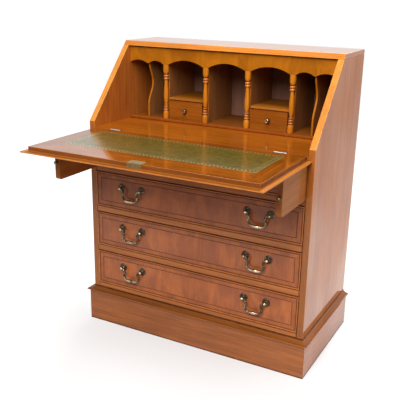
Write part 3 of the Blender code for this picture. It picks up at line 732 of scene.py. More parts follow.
# How far streaks and rubbing dull a wood, how deep streaks are next to pores, and how far both stand out
STREAK_DULL = 0.10
RUB_DULL = 0.1
STREAK_DEPTH = 0.3
PORE_STRENGTH = 0.35
# Gloss of the surface under a polish
BARE_GLOSS = 0.08


class Finish(Protocol):
    """What every finish offers."""

    name: str
    slot: Slot

    def material(self) -> Material:
        """The finish as a new material."""


def new_material(name: str) -> tuple[Material, Graph, Node, Socket]:
    """Start a material.

    Args:
        name: The material's name.

    Returns:
        The material, its graph, its Principled node and its object coordinates.
    """
    material = bpy.data.materials.new(name)
    material.use_nodes = True
    graph = Graph(material.node_tree)
    shader = material.node_tree.nodes["Principled BSDF"]
    return material, graph, shader, graph.node("TexCoord").outputs["Object"]


def shaded(colour: Colour, factor: float) -> Colour:
    """A colour made darker or lighter by a factor."""
    return tuple(min(1.0, part * factor) for part in colour)


def made(finish: Finish) -> Material:
    """The material of a finish, built when it is first used."""
    return bpy.data.materials.get(finish.name) or finish.material()


@dataclass(frozen=True)
class Wood:
    """A stained and polished wood, cut with its grain one way."""

    name: str
    slot: Slot
    deep: Colour
    bright: Colour
    grain: Grain = Grain.ALONG_X
    cut_from: Point = ORIGIN
    roughness: float = 0.45
    polish: float = 0.9
    polish_roughness: float = 0.09
    polish_index: float = 1.5
    wear: float = 0.25
    mottle: float = 0.15
    streaks: float = 0.30
    pore_depth: float = 0.0002

    def figure_place(self, graph: Graph, place: Socket) -> Socket:
        """Object coordinates turned so that the grain runs along X."""
        return graph.turn(place, self.cut_from, self.grain.value)

    def inlay(self, graph: Graph, place: Socket, colour: Socket) -> tuple[Socket, Any]:
        """The colour with whatever is let into the wood, here nothing, and where that is matt."""
        return colour, 0.0

    def material(self) -> Material:
        """The finish as a new material."""
        material, graph, shader, place = new_material(self.name)
        grain = self.figure_place(graph, place)
        figure = graph.group(wood_figure(), {"Vector": grain, "Mottle": self.mottle})
        streak, pores = figure["Streak"], figure["Pores"]
        rubbed = graph.group(edge_rub(), {"Vector": place})["Mask"]
        painted_shade = graph.group(marked_shade(), {"Vector": place})["Mask"]
        colour = graph.blend(figure["Tone"], self.deep, self.bright)
        colour = graph.blend(graph.times(streak, self.streaks), colour, shaded(self.deep, STREAK_SHADE))
        colour = graph.blend(graph.times(pores, PORE_COVER), colour, shaded(self.deep, PORE_SHADE))
        colour, matt = self.inlay(graph, place, colour)
        # Worn edges lightened: partly wear, partly a painted highlight along the arrises
        colour = graph.blend(graph.times(rubbed, WORN_EDGE_HIGHLIGHT_COVER), colour, shaded(self.bright, WORN_EDGE_HIGHLIGHT))
        # Painted shade on the faces marked for it
        colour = graph.blend(graph.times(painted_shade, PAINTED_SHADE_COVER), colour, shaded(self.deep, PAINTED_SHADE_TONE))
        dull = graph.math("MULTIPLY_ADD", streak, STREAK_DULL)
        dull.node.inputs[2].default_value = self.roughness
        height = graph.math("ADD", pores, graph.times(streak, STREAK_DEPTH))
        worn = graph.ramp(graph.noise(place, scale=2.6, detail=3.0), 0.36, 0.62, 1.0 - self.wear, 1.0)
        shiny = graph.times(worn, graph.math("SUBTRACT", 1.0, graph.math("MAXIMUM", painted_shade, matt)))
        graph.fill(shader, {"Base Color": colour,
                            "Roughness": graph.math("ADD", dull, graph.times(rubbed, RUB_DULL), True),
                            "Normal": graph.relief(height, PORE_STRENGTH, self.pore_depth, True),
                            "Coat Weight": graph.times(shiny, self.polish),
                            "Coat Roughness": self.polish_roughness,
                            "Coat IOR": self.polish_index,
                            "Specular IOR Level": BARE_GLOSS * (1.0 - self.polish)})
        return material


@dataclass(frozen=True)
class DepthShadedWood(Wood):
    """A board deep inside the fitment, with painted shade growing towards its back."""

    front: float = 0.0
    back: float = 0.1
    dust: float = 0.75

    def inlay(self, graph: Graph, place: Socket, colour: Socket) -> tuple[Socket, Any]:
        """The colour with painted shade towards the back, and where that shade is matt."""
        along = graph.node("SeparateXYZ", {"Vector": place}).outputs["Y"]
        depth_shaded = graph.ramp(along, self.front, self.back, 0.0, self.dust)
        return graph.blend(depth_shaded, colour, shaded(self.deep, DEPTH_SHADE_TONE)), depth_shaded


@dataclass(frozen=True)
class EdgedWood(Wood):
    """A board's face with painted shade along its edges."""

    plane: Plane = Plane.FRONT
    centre: Point = ORIGIN
    half_width: float = 0.38
    half_height: float = 0.06
    painted_shade: Colour = (0.085, 0.019, 0.004)
    shade_start: float = 0.0014
    shade_end: float = 0.0042

    def border(self, graph: Graph, place: Socket) -> tuple[Socket, Any]:
        """The face's own coordinates and what its border group gives."""
        local = graph.turn(place, self.centre, self.plane.value)
        return local, border_of(graph, local, self.half_width, self.half_height)

    def inlay(self, graph: Graph, place: Socket, colour: Socket) -> tuple[Socket, Any]:
        """The colour with painted shade along the edges, and where that is matt."""
        border = self.border(graph, place)[1]
        edge_shaded = graph.ramp(border["Distance"], self.shade_start, self.shade_end, PAINTED_SHADE_COVER, 0.0)
        return graph.blend(edge_shaded, colour, self.painted_shade), edge_shaded


@dataclass(frozen=True)
class PanelVeneer(EdgedWood):
    """A veneered panel with a crossbanded border inside a dark inlaid line."""

    # Painted shade a little in from the edges, where a raised bead stands round a drawer's front
    shade_start: float = 0.0052
    shade_end: float = 0.0090
    line_place: float = 0.021
    line_width: float = 0.0023
    line: Colour = (0.150, 0.036, 0.008)
    line_cover: float = 0.9
    band: Colour = (0.86, 0.86, 0.86 * 1.05)
    shade_reach: float = 0.055
    band_offset: Point = (0.37, 0.21, 0.43)

    def figure_place(self, graph: Graph, place: Socket) -> Socket:
        """Upright grain in the field, and grain across the border in the crossbanding."""
        local, border = self.border(graph, place)
        upright = graph.turn(local, self.cut_from, Grain.ALONG_Y.value)
        crossing = graph.choose(border["Upright"], graph.turn(upright, self.band_offset, ORIGIN),
                                graph.turn(local, self.band_offset, ORIGIN))
        return graph.choose(graph.math("LESS_THAN", border["Distance"], self.line_place), upright, crossing)

    def inlay(self, graph: Graph, place: Socket, colour: Socket) -> tuple[Socket, Any]:
        """The colour with a darker border, the inlaid line and painted shade near the edges, and where it is
        matt.
        """
        border = self.border(graph, place)[1]
        on_band = graph.math("LESS_THAN", border["Distance"], self.line_place)
        # Darker towards the panel's edges
        darker_to_edge = graph.ramp(border["Distance"], 0.0, self.shade_reach, 1.0, 0.0)
        banded = graph.node("Mix", {0: graph.math("MAXIMUM", on_band, darker_to_edge), 6: colour,
                                    7: (*self.band, 1.0)}, data_type="RGBA", blend_type="MULTIPLY")
        line = line_at(graph, border, self.line_place, self.line_width)
        lined = graph.blend(graph.times(line, self.line_cover), banded.outputs[2], self.line)
        edge_shaded, matt = EdgedWood.inlay(self, graph, place, lined)
        return edge_shaded, graph.math("MAXIMUM", matt, line)


@dataclass(frozen=True)
class MitredVeneer(PanelVeneer):
    """A level veneered panel whose border runs round it with mitred corners."""

    plane: Plane = Plane.LEVEL

    def figure_place(self, graph: Graph, place: Socket) -> Socket:
        """Grain along each side of the border."""
        local, border = self.border(graph, place)
        return graph.choose(border["Upright"], graph.turn(local, self.cut_from, Grain.ALONG_X.value),
                            graph.turn(local, self.band_offset, Grain.ALONG_Y.value))

    def inlay(self, graph: Graph, place: Socket, colour: Socket) -> tuple[Socket, Any]:
        """The plain colour, polished all over."""
        return colour, 0.0


@dataclass(frozen=True)
class Brass:
    """Brass with an uneven dark patina that is rubbed off where it is handled."""

    name: str
    bright: Colour
    patina: Colour
    tarnish: float = 0.5
    slot: Slot = Slot.BRASS
    roughness: float = 0.30
    patina_roughness: float = 0.16
    blotch_scale: float = 150.0
    scratch_scale: float = 1800.0
    scratch_depth: float = 0.0001

    def material(self) -> Material:
        """The finish as a new material."""
        material, graph, shader, place = new_material(self.name)
        blotch = graph.ramp(graph.noise(place, scale=self.blotch_scale, detail=6.0), 0.25, 0.75)
        rubbed = graph.group(edge_rub(), {"Vector": place})["Mask"]
        bare = graph.math("ADD", rubbed, graph.times(blotch, 0.5))
        clean = graph.math("SUBTRACT", bare, self.tarnish, True)
        dull = graph.ramp(clean, 0.0, 1.0, self.roughness + self.patina_roughness, self.roughness)
        scratch = graph.noise(place, scale=self.scratch_scale, detail=2.0)
        graph.fill(shader, {"Base Color": graph.blend(clean, self.patina, self.bright), "Roughness": dull,
                            "Normal": graph.relief(scratch, 0.12, self.scratch_depth), "Metallic": 1.0})
        return material


@dataclass(frozen=True)
class TooledLeather:
    """Green hide with a pebbled grain and a gilt border: two lines, and dots on a dark band."""

    name: str
    centre: Point
    half_width: float
    half_height: float
    slot: Slot = Slot.LEATHER
    deep: Colour = (0.102, 0.074, 0.008)
    bright: Colour = (0.156, 0.114, 0.013)
    gilt: Colour = (0.74, 0.56, 0.20)
    outer_line: float = 0.0035
    inner_line: float = 0.0175
    line_width: float = 0.0015
    dot_place: float = 0.0105
    dot_pitch: float = 0.0120
    dot_radius: float = 0.0031
    band_width: float = 0.0120
    band_depth: float = 0.70
    mottle_scale: float = 60.0
    pebble_scale: float = 900.0
    pebble_depth: float = 0.0002
    wear_scale: float = 420.0
    gilt_metal: float = 0.6
    polish: float = 0.95
    polish_roughness: float = 0.20

    def tooling(self, graph: Graph, border: Any) -> Socket:
        """Mask of the gilt border.

        Args:
            graph: The material's graph.
            border: Outputs of the border group.

        Returns:
            1 where the hide is gilt.
        """
        lines = [line_at(graph, border, place, self.line_width)
                 for place in (self.outer_line, self.inner_line)]
        step = graph.math("FRACT", graph.math("DIVIDE", border["Along"], self.dot_pitch))
        along = graph.times(graph.math("SUBTRACT", step, 0.5), self.dot_pitch)
        across = graph.math("ABSOLUTE", graph.math("SUBTRACT", border["Distance"], self.dot_place))
        away = graph.math("SQRT", graph.math("ADD", graph.math("POWER", along, 2.0),
                                             graph.math("POWER", across, 2.0)))
        dots = graph.ramp(away, self.dot_radius * 0.8, self.dot_radius, 1.0, 0.0)
        return graph.math("MAXIMUM", dots, graph.math("MAXIMUM", *lines))

    def material(self) -> Material:
        """The finish as a new material."""
        material, graph, shader, place = new_material(self.name)
        local = graph.turn(place, self.centre, Plane.LEVEL.value)
        border = border_of(graph, local, self.half_width, self.half_height)
        worn = graph.ramp(graph.noise(place, scale=self.wear_scale, detail=3.0), 0.30, 0.52, 0.25, 0.75)
        gilt = graph.times(self.tooling(graph, border), worn)
        mottle = graph.noise(place, scale=self.mottle_scale, detail=6.0, distortion=0.4)
        mottle = graph.ramp(mottle, 0.30, 0.70)
        pebbles = graph.node("TexVoronoi", {"Vector": place, "Scale": self.pebble_scale})
        pebbled = pebbles.outputs["Distance"]
        band = graph.times(line_at(graph, border, self.dot_place, self.band_width), self.band_depth)
        colour = graph.blend(mottle, self.deep, self.bright)
        colour = graph.blend(graph.ramp(pebbled, 0.35, 0.75, 0.0, 0.35), colour, shaded(self.deep, 0.5))
        colour = graph.blend(band, colour, shaded(self.deep, 0.4))
        height = graph.math("SUBTRACT", graph.ramp(pebbled, 0.0, 0.8, 1.0, 0.0), gilt)
        graph.fill(shader, {"Base Color": graph.blend(gilt, colour, self.gilt),
                            "Metallic": graph.times(gilt, self.gilt_metal),
                            "Roughness": graph.ramp(mottle, 0.0, 1.0, 0.50, 0.40),
                            "Normal": graph.relief(height, 0.3, self.pebble_depth),
                            "Specular IOR Level": BARE_GLOSS,
                            "Coat Weight": self.polish,
                            "Coat Roughness": self.polish_roughness})
        return material


SIDE_VENEER = Wood("side_veneer", Slot.CASE, (0.38, 0.104, 0.016), (0.53, 0.162, 0.026), Grain.ALONG_Z,
                   polish=1.0, polish_index=1.55, streaks=0.15)
TOP_VENEER = replace(SIDE_VENEER, name="top_veneer", grain=Grain.ALONG_X, polish_roughness=0.06,
                     polish_index=2.2, wear=0.05)
# Lipping of the upright front edges, darkened in part as painted shade from the fall
STILE_LIPPING = Wood("stile_lipping", Slot.EDGE, (0.29, 0.084, 0.013), (0.40, 0.126, 0.022), Grain.ALONG_Z,
                     polish=0.8)
SLANT_LIPPING = Wood("slant_lipping", Slot.EDGE, (0.56, 0.195, 0.026), (0.74, 0.295, 0.044), Grain.ALONG_Z,
                     polish=0.6)
LEVEL_LIPPING = Wood("level_lipping", Slot.EDGE, (0.50, 0.150, 0.014), (0.68, 0.230, 0.026), polish=0.5)
# Lit and shaded copies of the fall's lip: painted shade on the ledge and on the field's step, painted
# highlight on the outer side ledges and the rounded edge
LIP_SHADED_WOOD = Wood("lip_shaded_wood", Slot.EDGE, (0.20, 0.055, 0.005), (0.29, 0.086, 0.010), polish=0.3)
LIP_SIDE_LIT_WOOD = Wood("lip_side_lit_wood", Slot.EDGE, (0.46, 0.140, 0.016), (0.64, 0.215, 0.030), Grain.ALONG_Y,
                     polish=0.4)
STEP_SHADED_WOOD = Wood("step_shaded_wood", Slot.EDGE, (0.160, 0.044, 0.005), (0.245, 0.071, 0.009), polish=0.15)
LIP_EDGE_LIT_WOOD = Wood("lip_edge_lit_wood", Slot.EDGE, (0.41, 0.125, 0.014), (0.57, 0.190, 0.026), polish=0.5)
# Rails carry painted shade along their edges, at the gaps by the drawers
RAIL_WOOD = EdgedWood("rail_wood", Slot.FRONT, (0.385, 0.108, 0.020), (0.53, 0.162, 0.032), polish=0.7)
PANEL_VENEER = PanelVeneer("panel_veneer", Slot.FRONT, (0.350, 0.094, 0.030), (0.525, 0.146, 0.034),
                           polish=0.7, mottle=0.7, streaks=0.22)
BEAD_WOOD = Wood("bead_wood", Slot.FRONT, (0.43, 0.130, 0.026), (0.58, 0.195, 0.044), polish=0.5)
# A dark finish that stands for the shade in the gaps round the drawers
GAP_SHADE_WOOD = Wood("gap_shade_wood", Slot.FRONT, (0.085, 0.019, 0.003), (0.140, 0.034, 0.006), polish=0.0)
PLINTH_VENEER = Wood("plinth_veneer", Slot.CASE, (0.32, 0.088, 0.016), (0.47, 0.138, 0.026), streaks=0.55)
PLINTH_END_VENEER = replace(PLINTH_VENEER, name="plinth_end_veneer", grain=Grain.ALONG_Y)
MOULDING_WOOD = Wood("moulding_wood", Slot.CASE, (0.200, 0.058, 0.010), (0.310, 0.095, 0.017), polish=0.15,
                     streaks=0.5)
# A lighter copy of the moulding's wood on its nose, as a painted highlight
NOSE_HIGHLIGHT_WOOD = Wood("nose_highlight_wood", Slot.CASE, (0.36, 0.115, 0.024), (0.50, 0.170, 0.038), polish=0.5)
MOULDING_END_WOOD = replace(MOULDING_WOOD, name="moulding_end_wood", grain=Grain.ALONG_Y, polish=0.6)
BED_VENEER = Wood("bed_veneer", Slot.EDGE, (0.31, 0.076, 0.004), (0.47, 0.128, 0.008))
BASE_WOOD = Wood("base_wood", Slot.EDGE, (0.16, 0.032, 0.002), (0.24, 0.053, 0.004), polish=0.15)
FALL_VENEER = MitredVeneer("fall_veneer", Slot.EDGE, (0.22, 0.052, 0.003), (0.42, 0.114, 0.009), polish=1.0,
                           polish_index=2.0, wear=0.05, mottle=0.3)
VALANCE_VENEER = Wood("valance_veneer", Slot.EDGE, (0.29, 0.085, 0.002), (0.415, 0.133, 0.004), Grain.ALONG_Z,
                      polish=0.06, mottle=0.75, streaks=0.10)
COLUMN_WOOD = Wood("column_wood", Slot.EDGE, (0.42, 0.126, 0.006), (0.60, 0.205, 0.012), Grain.ALONG_Z,
                   polish=0.25)
RING_WOOD = Wood("ring_wood", Slot.EDGE, (0.40, 0.110, 0.010), (0.54, 0.170, 0.022), Grain.ALONG_Z,
                 polish=0.6, polish_roughness=0.16, polish_index=1.7, wear=0.05)
PIGEONHOLE_WOOD = Wood("pigeonhole_wood", Slot.CASE, (0.230, 0.088, 0.025), (0.335, 0.131, 0.038),
                       Grain.ALONG_Z, polish=0.06, mottle=0.4)
# Shelves and bay floors darken towards the back as painted shade
SHELF_WOOD = DepthShadedWood("shelf_wood", Slot.CASE, (0.31, 0.092, 0.007), (0.45, 0.146, 0.012), polish=0.1)
SHELF_EDGE_WOOD = Wood("shelf_edge_wood", Slot.EDGE, (0.33, 0.092, 0.006), (0.46, 0.142, 0.012), polish=0.2)
BAY_FLOOR_WOOD = DepthShadedWood("bay_floor_wood", Slot.EDGE, (0.20, 0.053, 0.005), (0.290, 0.084, 0.010),
                           polish=0.4)
BAY_BACK_WOOD = Wood("bay_back_wood", Slot.CASE, (0.128, 0.058, 0.036), (0.195, 0.090, 0.055), Grain.ALONG_Z,
                     polish=0.0)
SMALL_FRONT_VENEER = Wood("small_front_veneer", Slot.EDGE, (0.20, 0.050, 0.002), (0.29, 0.078, 0.004),
                          polish=0.1)
LOPER_WOOD = Wood("loper_wood", Slot.FRONT, (0.26, 0.078, 0.014), (0.37, 0.120, 0.024), Grain.ALONG_Y,
                  polish=0.15, streaks=0.12)
LINING_WOOD = Wood("lining_wood", Slot.FRONT, (0.33, 0.185, 0.085), (0.47, 0.290, 0.145), Grain.ALONG_Y,
                   roughness=0.55, polish=0.1)
BACK_PLY = Wood("back_ply", Slot.BACK, (0.36, 0.180, 0.080), (0.52, 0.300, 0.150), Grain.ALONG_Z,
                roughness=0.6, polish=0.0)
HANDLE_BRASS = Brass("handle_brass", (0.90, 0.73, 0.48), (0.080, 0.051, 0.030), tarnish=0.30, roughness=0.20)
KNOB_BRASS = Brass("knob_brass", (0.84, 0.72, 0.50), (0.060, 0.044, 0.028), tarnish=0.32, roughness=0.18)
PULL_BRASS = Brass("pull_brass", (0.46, 0.35, 0.18), (0.050, 0.037, 0.022), tarnish=0.45)
PLATE_BRASS = Brass("plate_brass", (0.70, 0.56, 0.28), (0.300, 0.220, 0.095), tarnish=0.15)
LEAF_BRASS = Brass("leaf_brass", (0.50, 0.36, 0.22), (0.150, 0.095, 0.055), tarnish=0.25)
KNUCKLE_BRASS = Brass("knuckle_brass", (0.95, 0.86, 0.76), (0.450, 0.340, 0.240), tarnish=0.05,
                      roughness=0.14)


def dress(piece: Piece, finish: Finish, *others: tuple[Finish, Test]) -> None:
    """Give a piece its finish, and other finishes to the faces that pass a test.

    Args:
        piece: The piece.
        finish: The finish of the piece as a whole.
        others: Pairs of a finish and the test of the faces that wear it.
    """
    piece.data.materials.clear()
    piece.data.materials.append(made(finish))
    for index, (other, test) in enumerate(others, start=1):
        piece.data.materials.append(made(other))
        with editing(piece):
            pick(piece, Pick.FACE, test)
            piece.active_material_index = index
            bpy.ops.object.material_slot_assign()


def seat(piece: Piece, body: str, *nodes: str) -> None:
    """Shade a finished piece, ride it on its body and let it stand for its nodes.

    Args:
        piece: The dressed piece.
        body: The body that carries it.
        nodes: The nodes that it stands for.
    """
    shade(piece)
    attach(piece, body)
    if nodes:
        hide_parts(*nodes)
    LOG.info("%s rides on %s", piece.name, body)


def fit_pair(left: Piece, node: str, body: str, finish: Finish, *others: tuple[Finish, Test]) -> None:
    """Copy a left piece to the place of its twin on the right, and dress and seat both.

    Args:
        left: The left piece.
        node: The nodes that the two stand for, without their side.
        body: What carries them, with {} where it names their side.
        finish: The finish of the pieces as a whole.
        others: Pairs of a finish and the test of the faces that wear it.
    """
    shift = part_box(f"{node}_right")[0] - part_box(f"{node}_left")[0]
    right = copy_of(left, left.name.replace("left", "right"), shift)
    for (side, _), piece in zip(SIDES, (left, right)):
        dress(piece, finish, *others)
        seat(piece, body.format(side), f"{node}_{side}")


def front_at(node: str, level: float) -> float:
    """The foremost y of a node's corners at a level."""
    return min(vert.co.y for vert in frame["nodes"][node].data.vertices if abs(vert.co.z - level) < NEAR)


def joint_place(name: str) -> Vector:
    """Where a joint's axis passes."""
    return Vector(next(joint["pos_m"] for joint in frame["joints"] if joint["name"] == name))


# Sub-assemblies


@dataclass
class Screw:
    """A slotted screw with a low domed head, whose other sizes are shares of its radius."""

    radius: float
    axis: Axis
    rise: float = 0.32
    sunk: float = 0.30
    slot_width: float = 0.28
    slot_reach: float = 1.2
    slot_floor: float = 0.08
    brightness: float = 0.5
    sides: int = 20

    def model(self) -> Piece:
        """One screw head at the origin."""
        radius = self.radius
        crown = (0.0, radius * self.rise)
        dome = [crown, *quarter(crown, (radius, 0.0), Curl.OUT_FIRST, 5),
                (radius, -radius * self.sunk), (0.0, -radius * self.sunk)]
        head = lathe("screw_model", dome, ORIGIN, Axis.UP, self.sides)
        half, reach = radius * self.slot_width / 2, radius * self.slot_reach
        carve(head, [block("slot", (-half, -reach, radius * self.slot_floor), (half, reach, radius))])
        rub(head, lambda face: self.brightness)
        focus(head)
        head.rotation_euler = self.axis.value
        return settle("screw_model")

    def set_at(self, places: Sequence[Place]) -> list[Piece]:
        """Screws at some places, modelled once and copied.

        Args:
            places: Where each head is seated.

        Returns:
            The screws.
        """
        model = self.model()
        screws = [copy_of(model, f"screw_{index}", place) for index, place in enumerate(places)]
        bpy.data.objects.remove(model)
        return screws


@dataclass
class Carcase:
    """Sides, top, rails, partitions, back and writing bed."""

    arris: float = 0.0012
    top_arris: float = 0.0016
    show_depth: float = 0.035
    cut_shift: float = 0.4
    screw_radius: float = 0.0036
    screw_inset: float = 0.010
    screw_rows: int = 6

    def slant(self) -> tuple[Vector, Vector]:
        """A point and the outward normal of the slanted front."""
        low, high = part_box("top_board")
        rise = high.z - low.z
        run = front_at("top_board", high.z) - low.y
        return Vector((0.0, low.y, low.z)), Vector((0.0, -rise, run)).normalized()

    def sides(self) -> None:
        """Both sides, sawn to the slant, with a lipped front edge."""
        left = block("side_panel_left", *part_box("side_left"))
        saw(left, *self.slant())
        ease(left, self.arris)
        fit_pair(left, "side", "carcase", SIDE_VENEER, (STILE_LIPPING, facing_front(0.95)),
                 (SLANT_LIPPING, lambda face: -0.95 < face.normal.y < -0.4 and face.normal.z > 0.3))

    def top(self) -> None:
        """The top board with its slanted front edge."""
        board = block("top_panel", *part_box("top_board"))
        saw(board, *self.slant())
        ease(board, self.top_arris, 4)
        dress(board, TOP_VENEER, (LEVEL_LIPPING, facing_front(0.5)))
        seat(board, "carcase", "top_board")

    def rails(self) -> None:
        """Bottom board, dust boards and partitions, show wood at the front and plain behind."""
        for node in ("bottom_board", "dust_board_1", "dust_board_2", "dust_board_3",
                     "partition_left", "partition_right"):
            low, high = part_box(node)
            board = block(node.replace("board", "rail").replace("partition", "loper_guide"), low, high)
            show_end = low.y + self.show_depth
            show = replace(RAIL_WOOD, name=f"{node}_show_wood", centre=(0.0, low.y, (low.z + high.z) / 2),
                           grain=Grain.ALONG_Z if node.startswith("partition") else Grain.ALONG_X,
                           half_height=(high.z - low.z) / 2, half_width=high.x,
                           cut_from=(self.cut_shift * low.z, low.z, 0.0))
            saw(board, (0.0, show_end, 0.0), (0.0, 1.0, 0.0), discard=False)
            ease(board, self.arris / 2, 2, foremost(low.y))
            dress(board, LINING_WOOD, (show, lambda face: centre_of(face).y < show_end))
            seat(board, "carcase", node)

    def back(self) -> None:
        """The back panel with its screws."""
        low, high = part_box("back_panel")
        sheet = block("back_sheet", low, high)
        ease(sheet, self.arris / 2, 2)
        dress(sheet, BACK_PLY, (BAY_BACK_WOOD, facing_front()))
        seat(sheet, "carcase", "back_panel")
        step = (high.z - low.z - 2 * self.screw_inset) / (self.screw_rows - 1)
        places = [(x, high.y, low.z + self.screw_inset + row * step)
                  for x in (low.x + self.screw_inset, 0.0, high.x - self.screw_inset)
                  for row in range(self.screw_rows)]
        screws = Screw(self.screw_radius, Axis.BACKWARD).set_at(places)
        group = gather(screws[0], screws[1:])
        group.name = "back_screws"
        dress(group, KNOB_BRASS)
        seat(group, "carcase")

    def bed(self) -> None:
        """The writing bed, recessed for the hinges."""
        low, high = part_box("writing_bed")
        board = block("bed_board", low, high)
        ease(board, self.arris / 3, 2, foremost(low.y))
        carve(board, Hinge().recesses(1))
        dress(board, BED_VENEER)
        seat(board, "carcase", "writing_bed")

    def build(self) -> None:
        """Model and dress the carcase."""
        self.sides()
        self.top()
        self.rails()
        self.back()
        self.bed()


@dataclass
class Plinth:
    """Mitred boards with a cove moulding along their top."""

    height: float = 0.118
    thickness: float = 0.025
    step: float = 0.0125
    moulding_step: float = 0.0206
    moulding_height: float = 0.015
    moulding_drop: float = 0.006
    nose: float = 0.003
    nose_upright: float = 0.8
    cove_sides: int = 96
    arris: float = 0.0010
    arris_angle: float = 40.0
    shade_strip: float = 0.0045

    def moulding(self, start: float, end: float) -> Piece:
        """A straight length of cove moulding along X, against the plane y = 0.

        Args:
            start: x of one end.
            end: x of the other end.

        Returns:
            The moulding.
        """
        foot = self.height - self.moulding_drop
        crown = self.height + self.moulding_height
        nose_top = self.height + self.nose / 2
        strip = block("moulding", (start, -self.moulding_step, foot), (end, -TOUCH, crown))
        under = Vector((0.0, -(nose_top - self.nose - foot), self.step - self.moulding_step))
        saw(strip, (0.0, -self.step, foot), under)
        clear_selection()
        reach = end - start + 2 * self.thickness
        bpy.ops.mesh.primitive_cylinder_add(vertices=self.cove_sides, radius=1.0, depth=reach,
                                            rotation=(0.0, math.pi / 2, 0.0),
                                            location=((start + end) / 2, -self.moulding_step, crown),
                                            scale=(crown - nose_top, self.moulding_step - TOUCH, 1.0))
        carve(strip, [settle("cove")])
        return strip

    def board(self, name: str, start: float, end: float, mitres: Sequence[tuple[float, int]]) -> Piece:
        """A plinth board with its moulding, along X, against the plane y = 0.

        Args:
            name: The piece's name.
            start: x of one end.
            end: x of the other end.
            mitres: Pairs of the x of a mitre at y = 0 and the end that it cuts, -1 or 1.

        Returns:
            The board.
        """
        piece = block(name, (start, -self.step, 0.0), (end, self.thickness - self.step, self.height))
        carve(piece, [self.moulding(start, end)], Joinery.UNION)
        for x, sign in mitres:
            saw(piece, (x, 0.0, 0.0), (sign, 1.0, 0.0))
        # Painted shade along the moulding's top against the carcase and along the board's foot on the floor
        saw(piece, (0.0, 0.0, self.shade_strip), (0.0, 0.0, 1.0), discard=False)
        ease(piece, self.arris, 2, sharper(self.arris_angle))
        middle_height = (self.height + self.moulding_height) / 2
        clean = middle_height - self.shade_strip
        soil(piece, lambda face: abs(centre_of(face).z - middle_height) > clean)
        return piece

    def place(self, piece: Piece, turn: float, spot: Place) -> None:
        """Turn a finished board about Z, put it in its place and apply both."""
        focus(piece)
        piece.rotation_euler = (0.0, 0.0, turn)
        piece.location = spot
        settle(piece.name)

    def build(self) -> None:
        """Model and dress the front, the two ends and the back."""
        low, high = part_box("side_right")
        half, front, back = high.x, low.y, high.y
        moulded = self.height - self.moulding_drop

        def on_moulding(face: Any) -> bool:
            """True for the moulding's faces."""
            return centre_of(face).z > moulded

        def on_nose(face: Any) -> bool:
            """True for the upright faces of the moulding's nose."""
            level = centre_of(face).z - self.height
            return abs(level) < self.nose and math.hypot(face.normal.x, face.normal.y) > self.nose_upright

        reach = half + self.moulding_step
        board = self.board("plinth_front_board", -reach, reach, [(half - TOUCH, 1), (TOUCH - half, -1)])
        self.place(board, 0.0, (0.0, front, 0.0))
        # The moulding's nose wears a painted highlight
        dress(board, PLINTH_VENEER, (MOULDING_WOOD, on_moulding), (NOSE_HIGHLIGHT_WOOD, on_nose))
        seat(board, "carcase", "plinth_front")
        for side, sign in SIDES:
            ends = sorted((sign * (front - self.moulding_step), sign * back))
            board = self.board(f"plinth_end_{side}", *ends, [(sign * front, -sign)])
            self.place(board, sign * math.pi / 2, (sign * half, 0.0, 0.0))
            dress(board, PLINTH_END_VENEER, (MOULDING_END_WOOD, on_moulding), (NOSE_HIGHLIGHT_WOOD, on_nose))
            seat(board, "carcase", f"plinth_{side}")
        board = block("plinth_back_board", *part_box("plinth_back"))
        ease(board, self.arris, 2)
        dress(board, PLINTH_VENEER)
        seat(board, "carcase", "plinth_back")


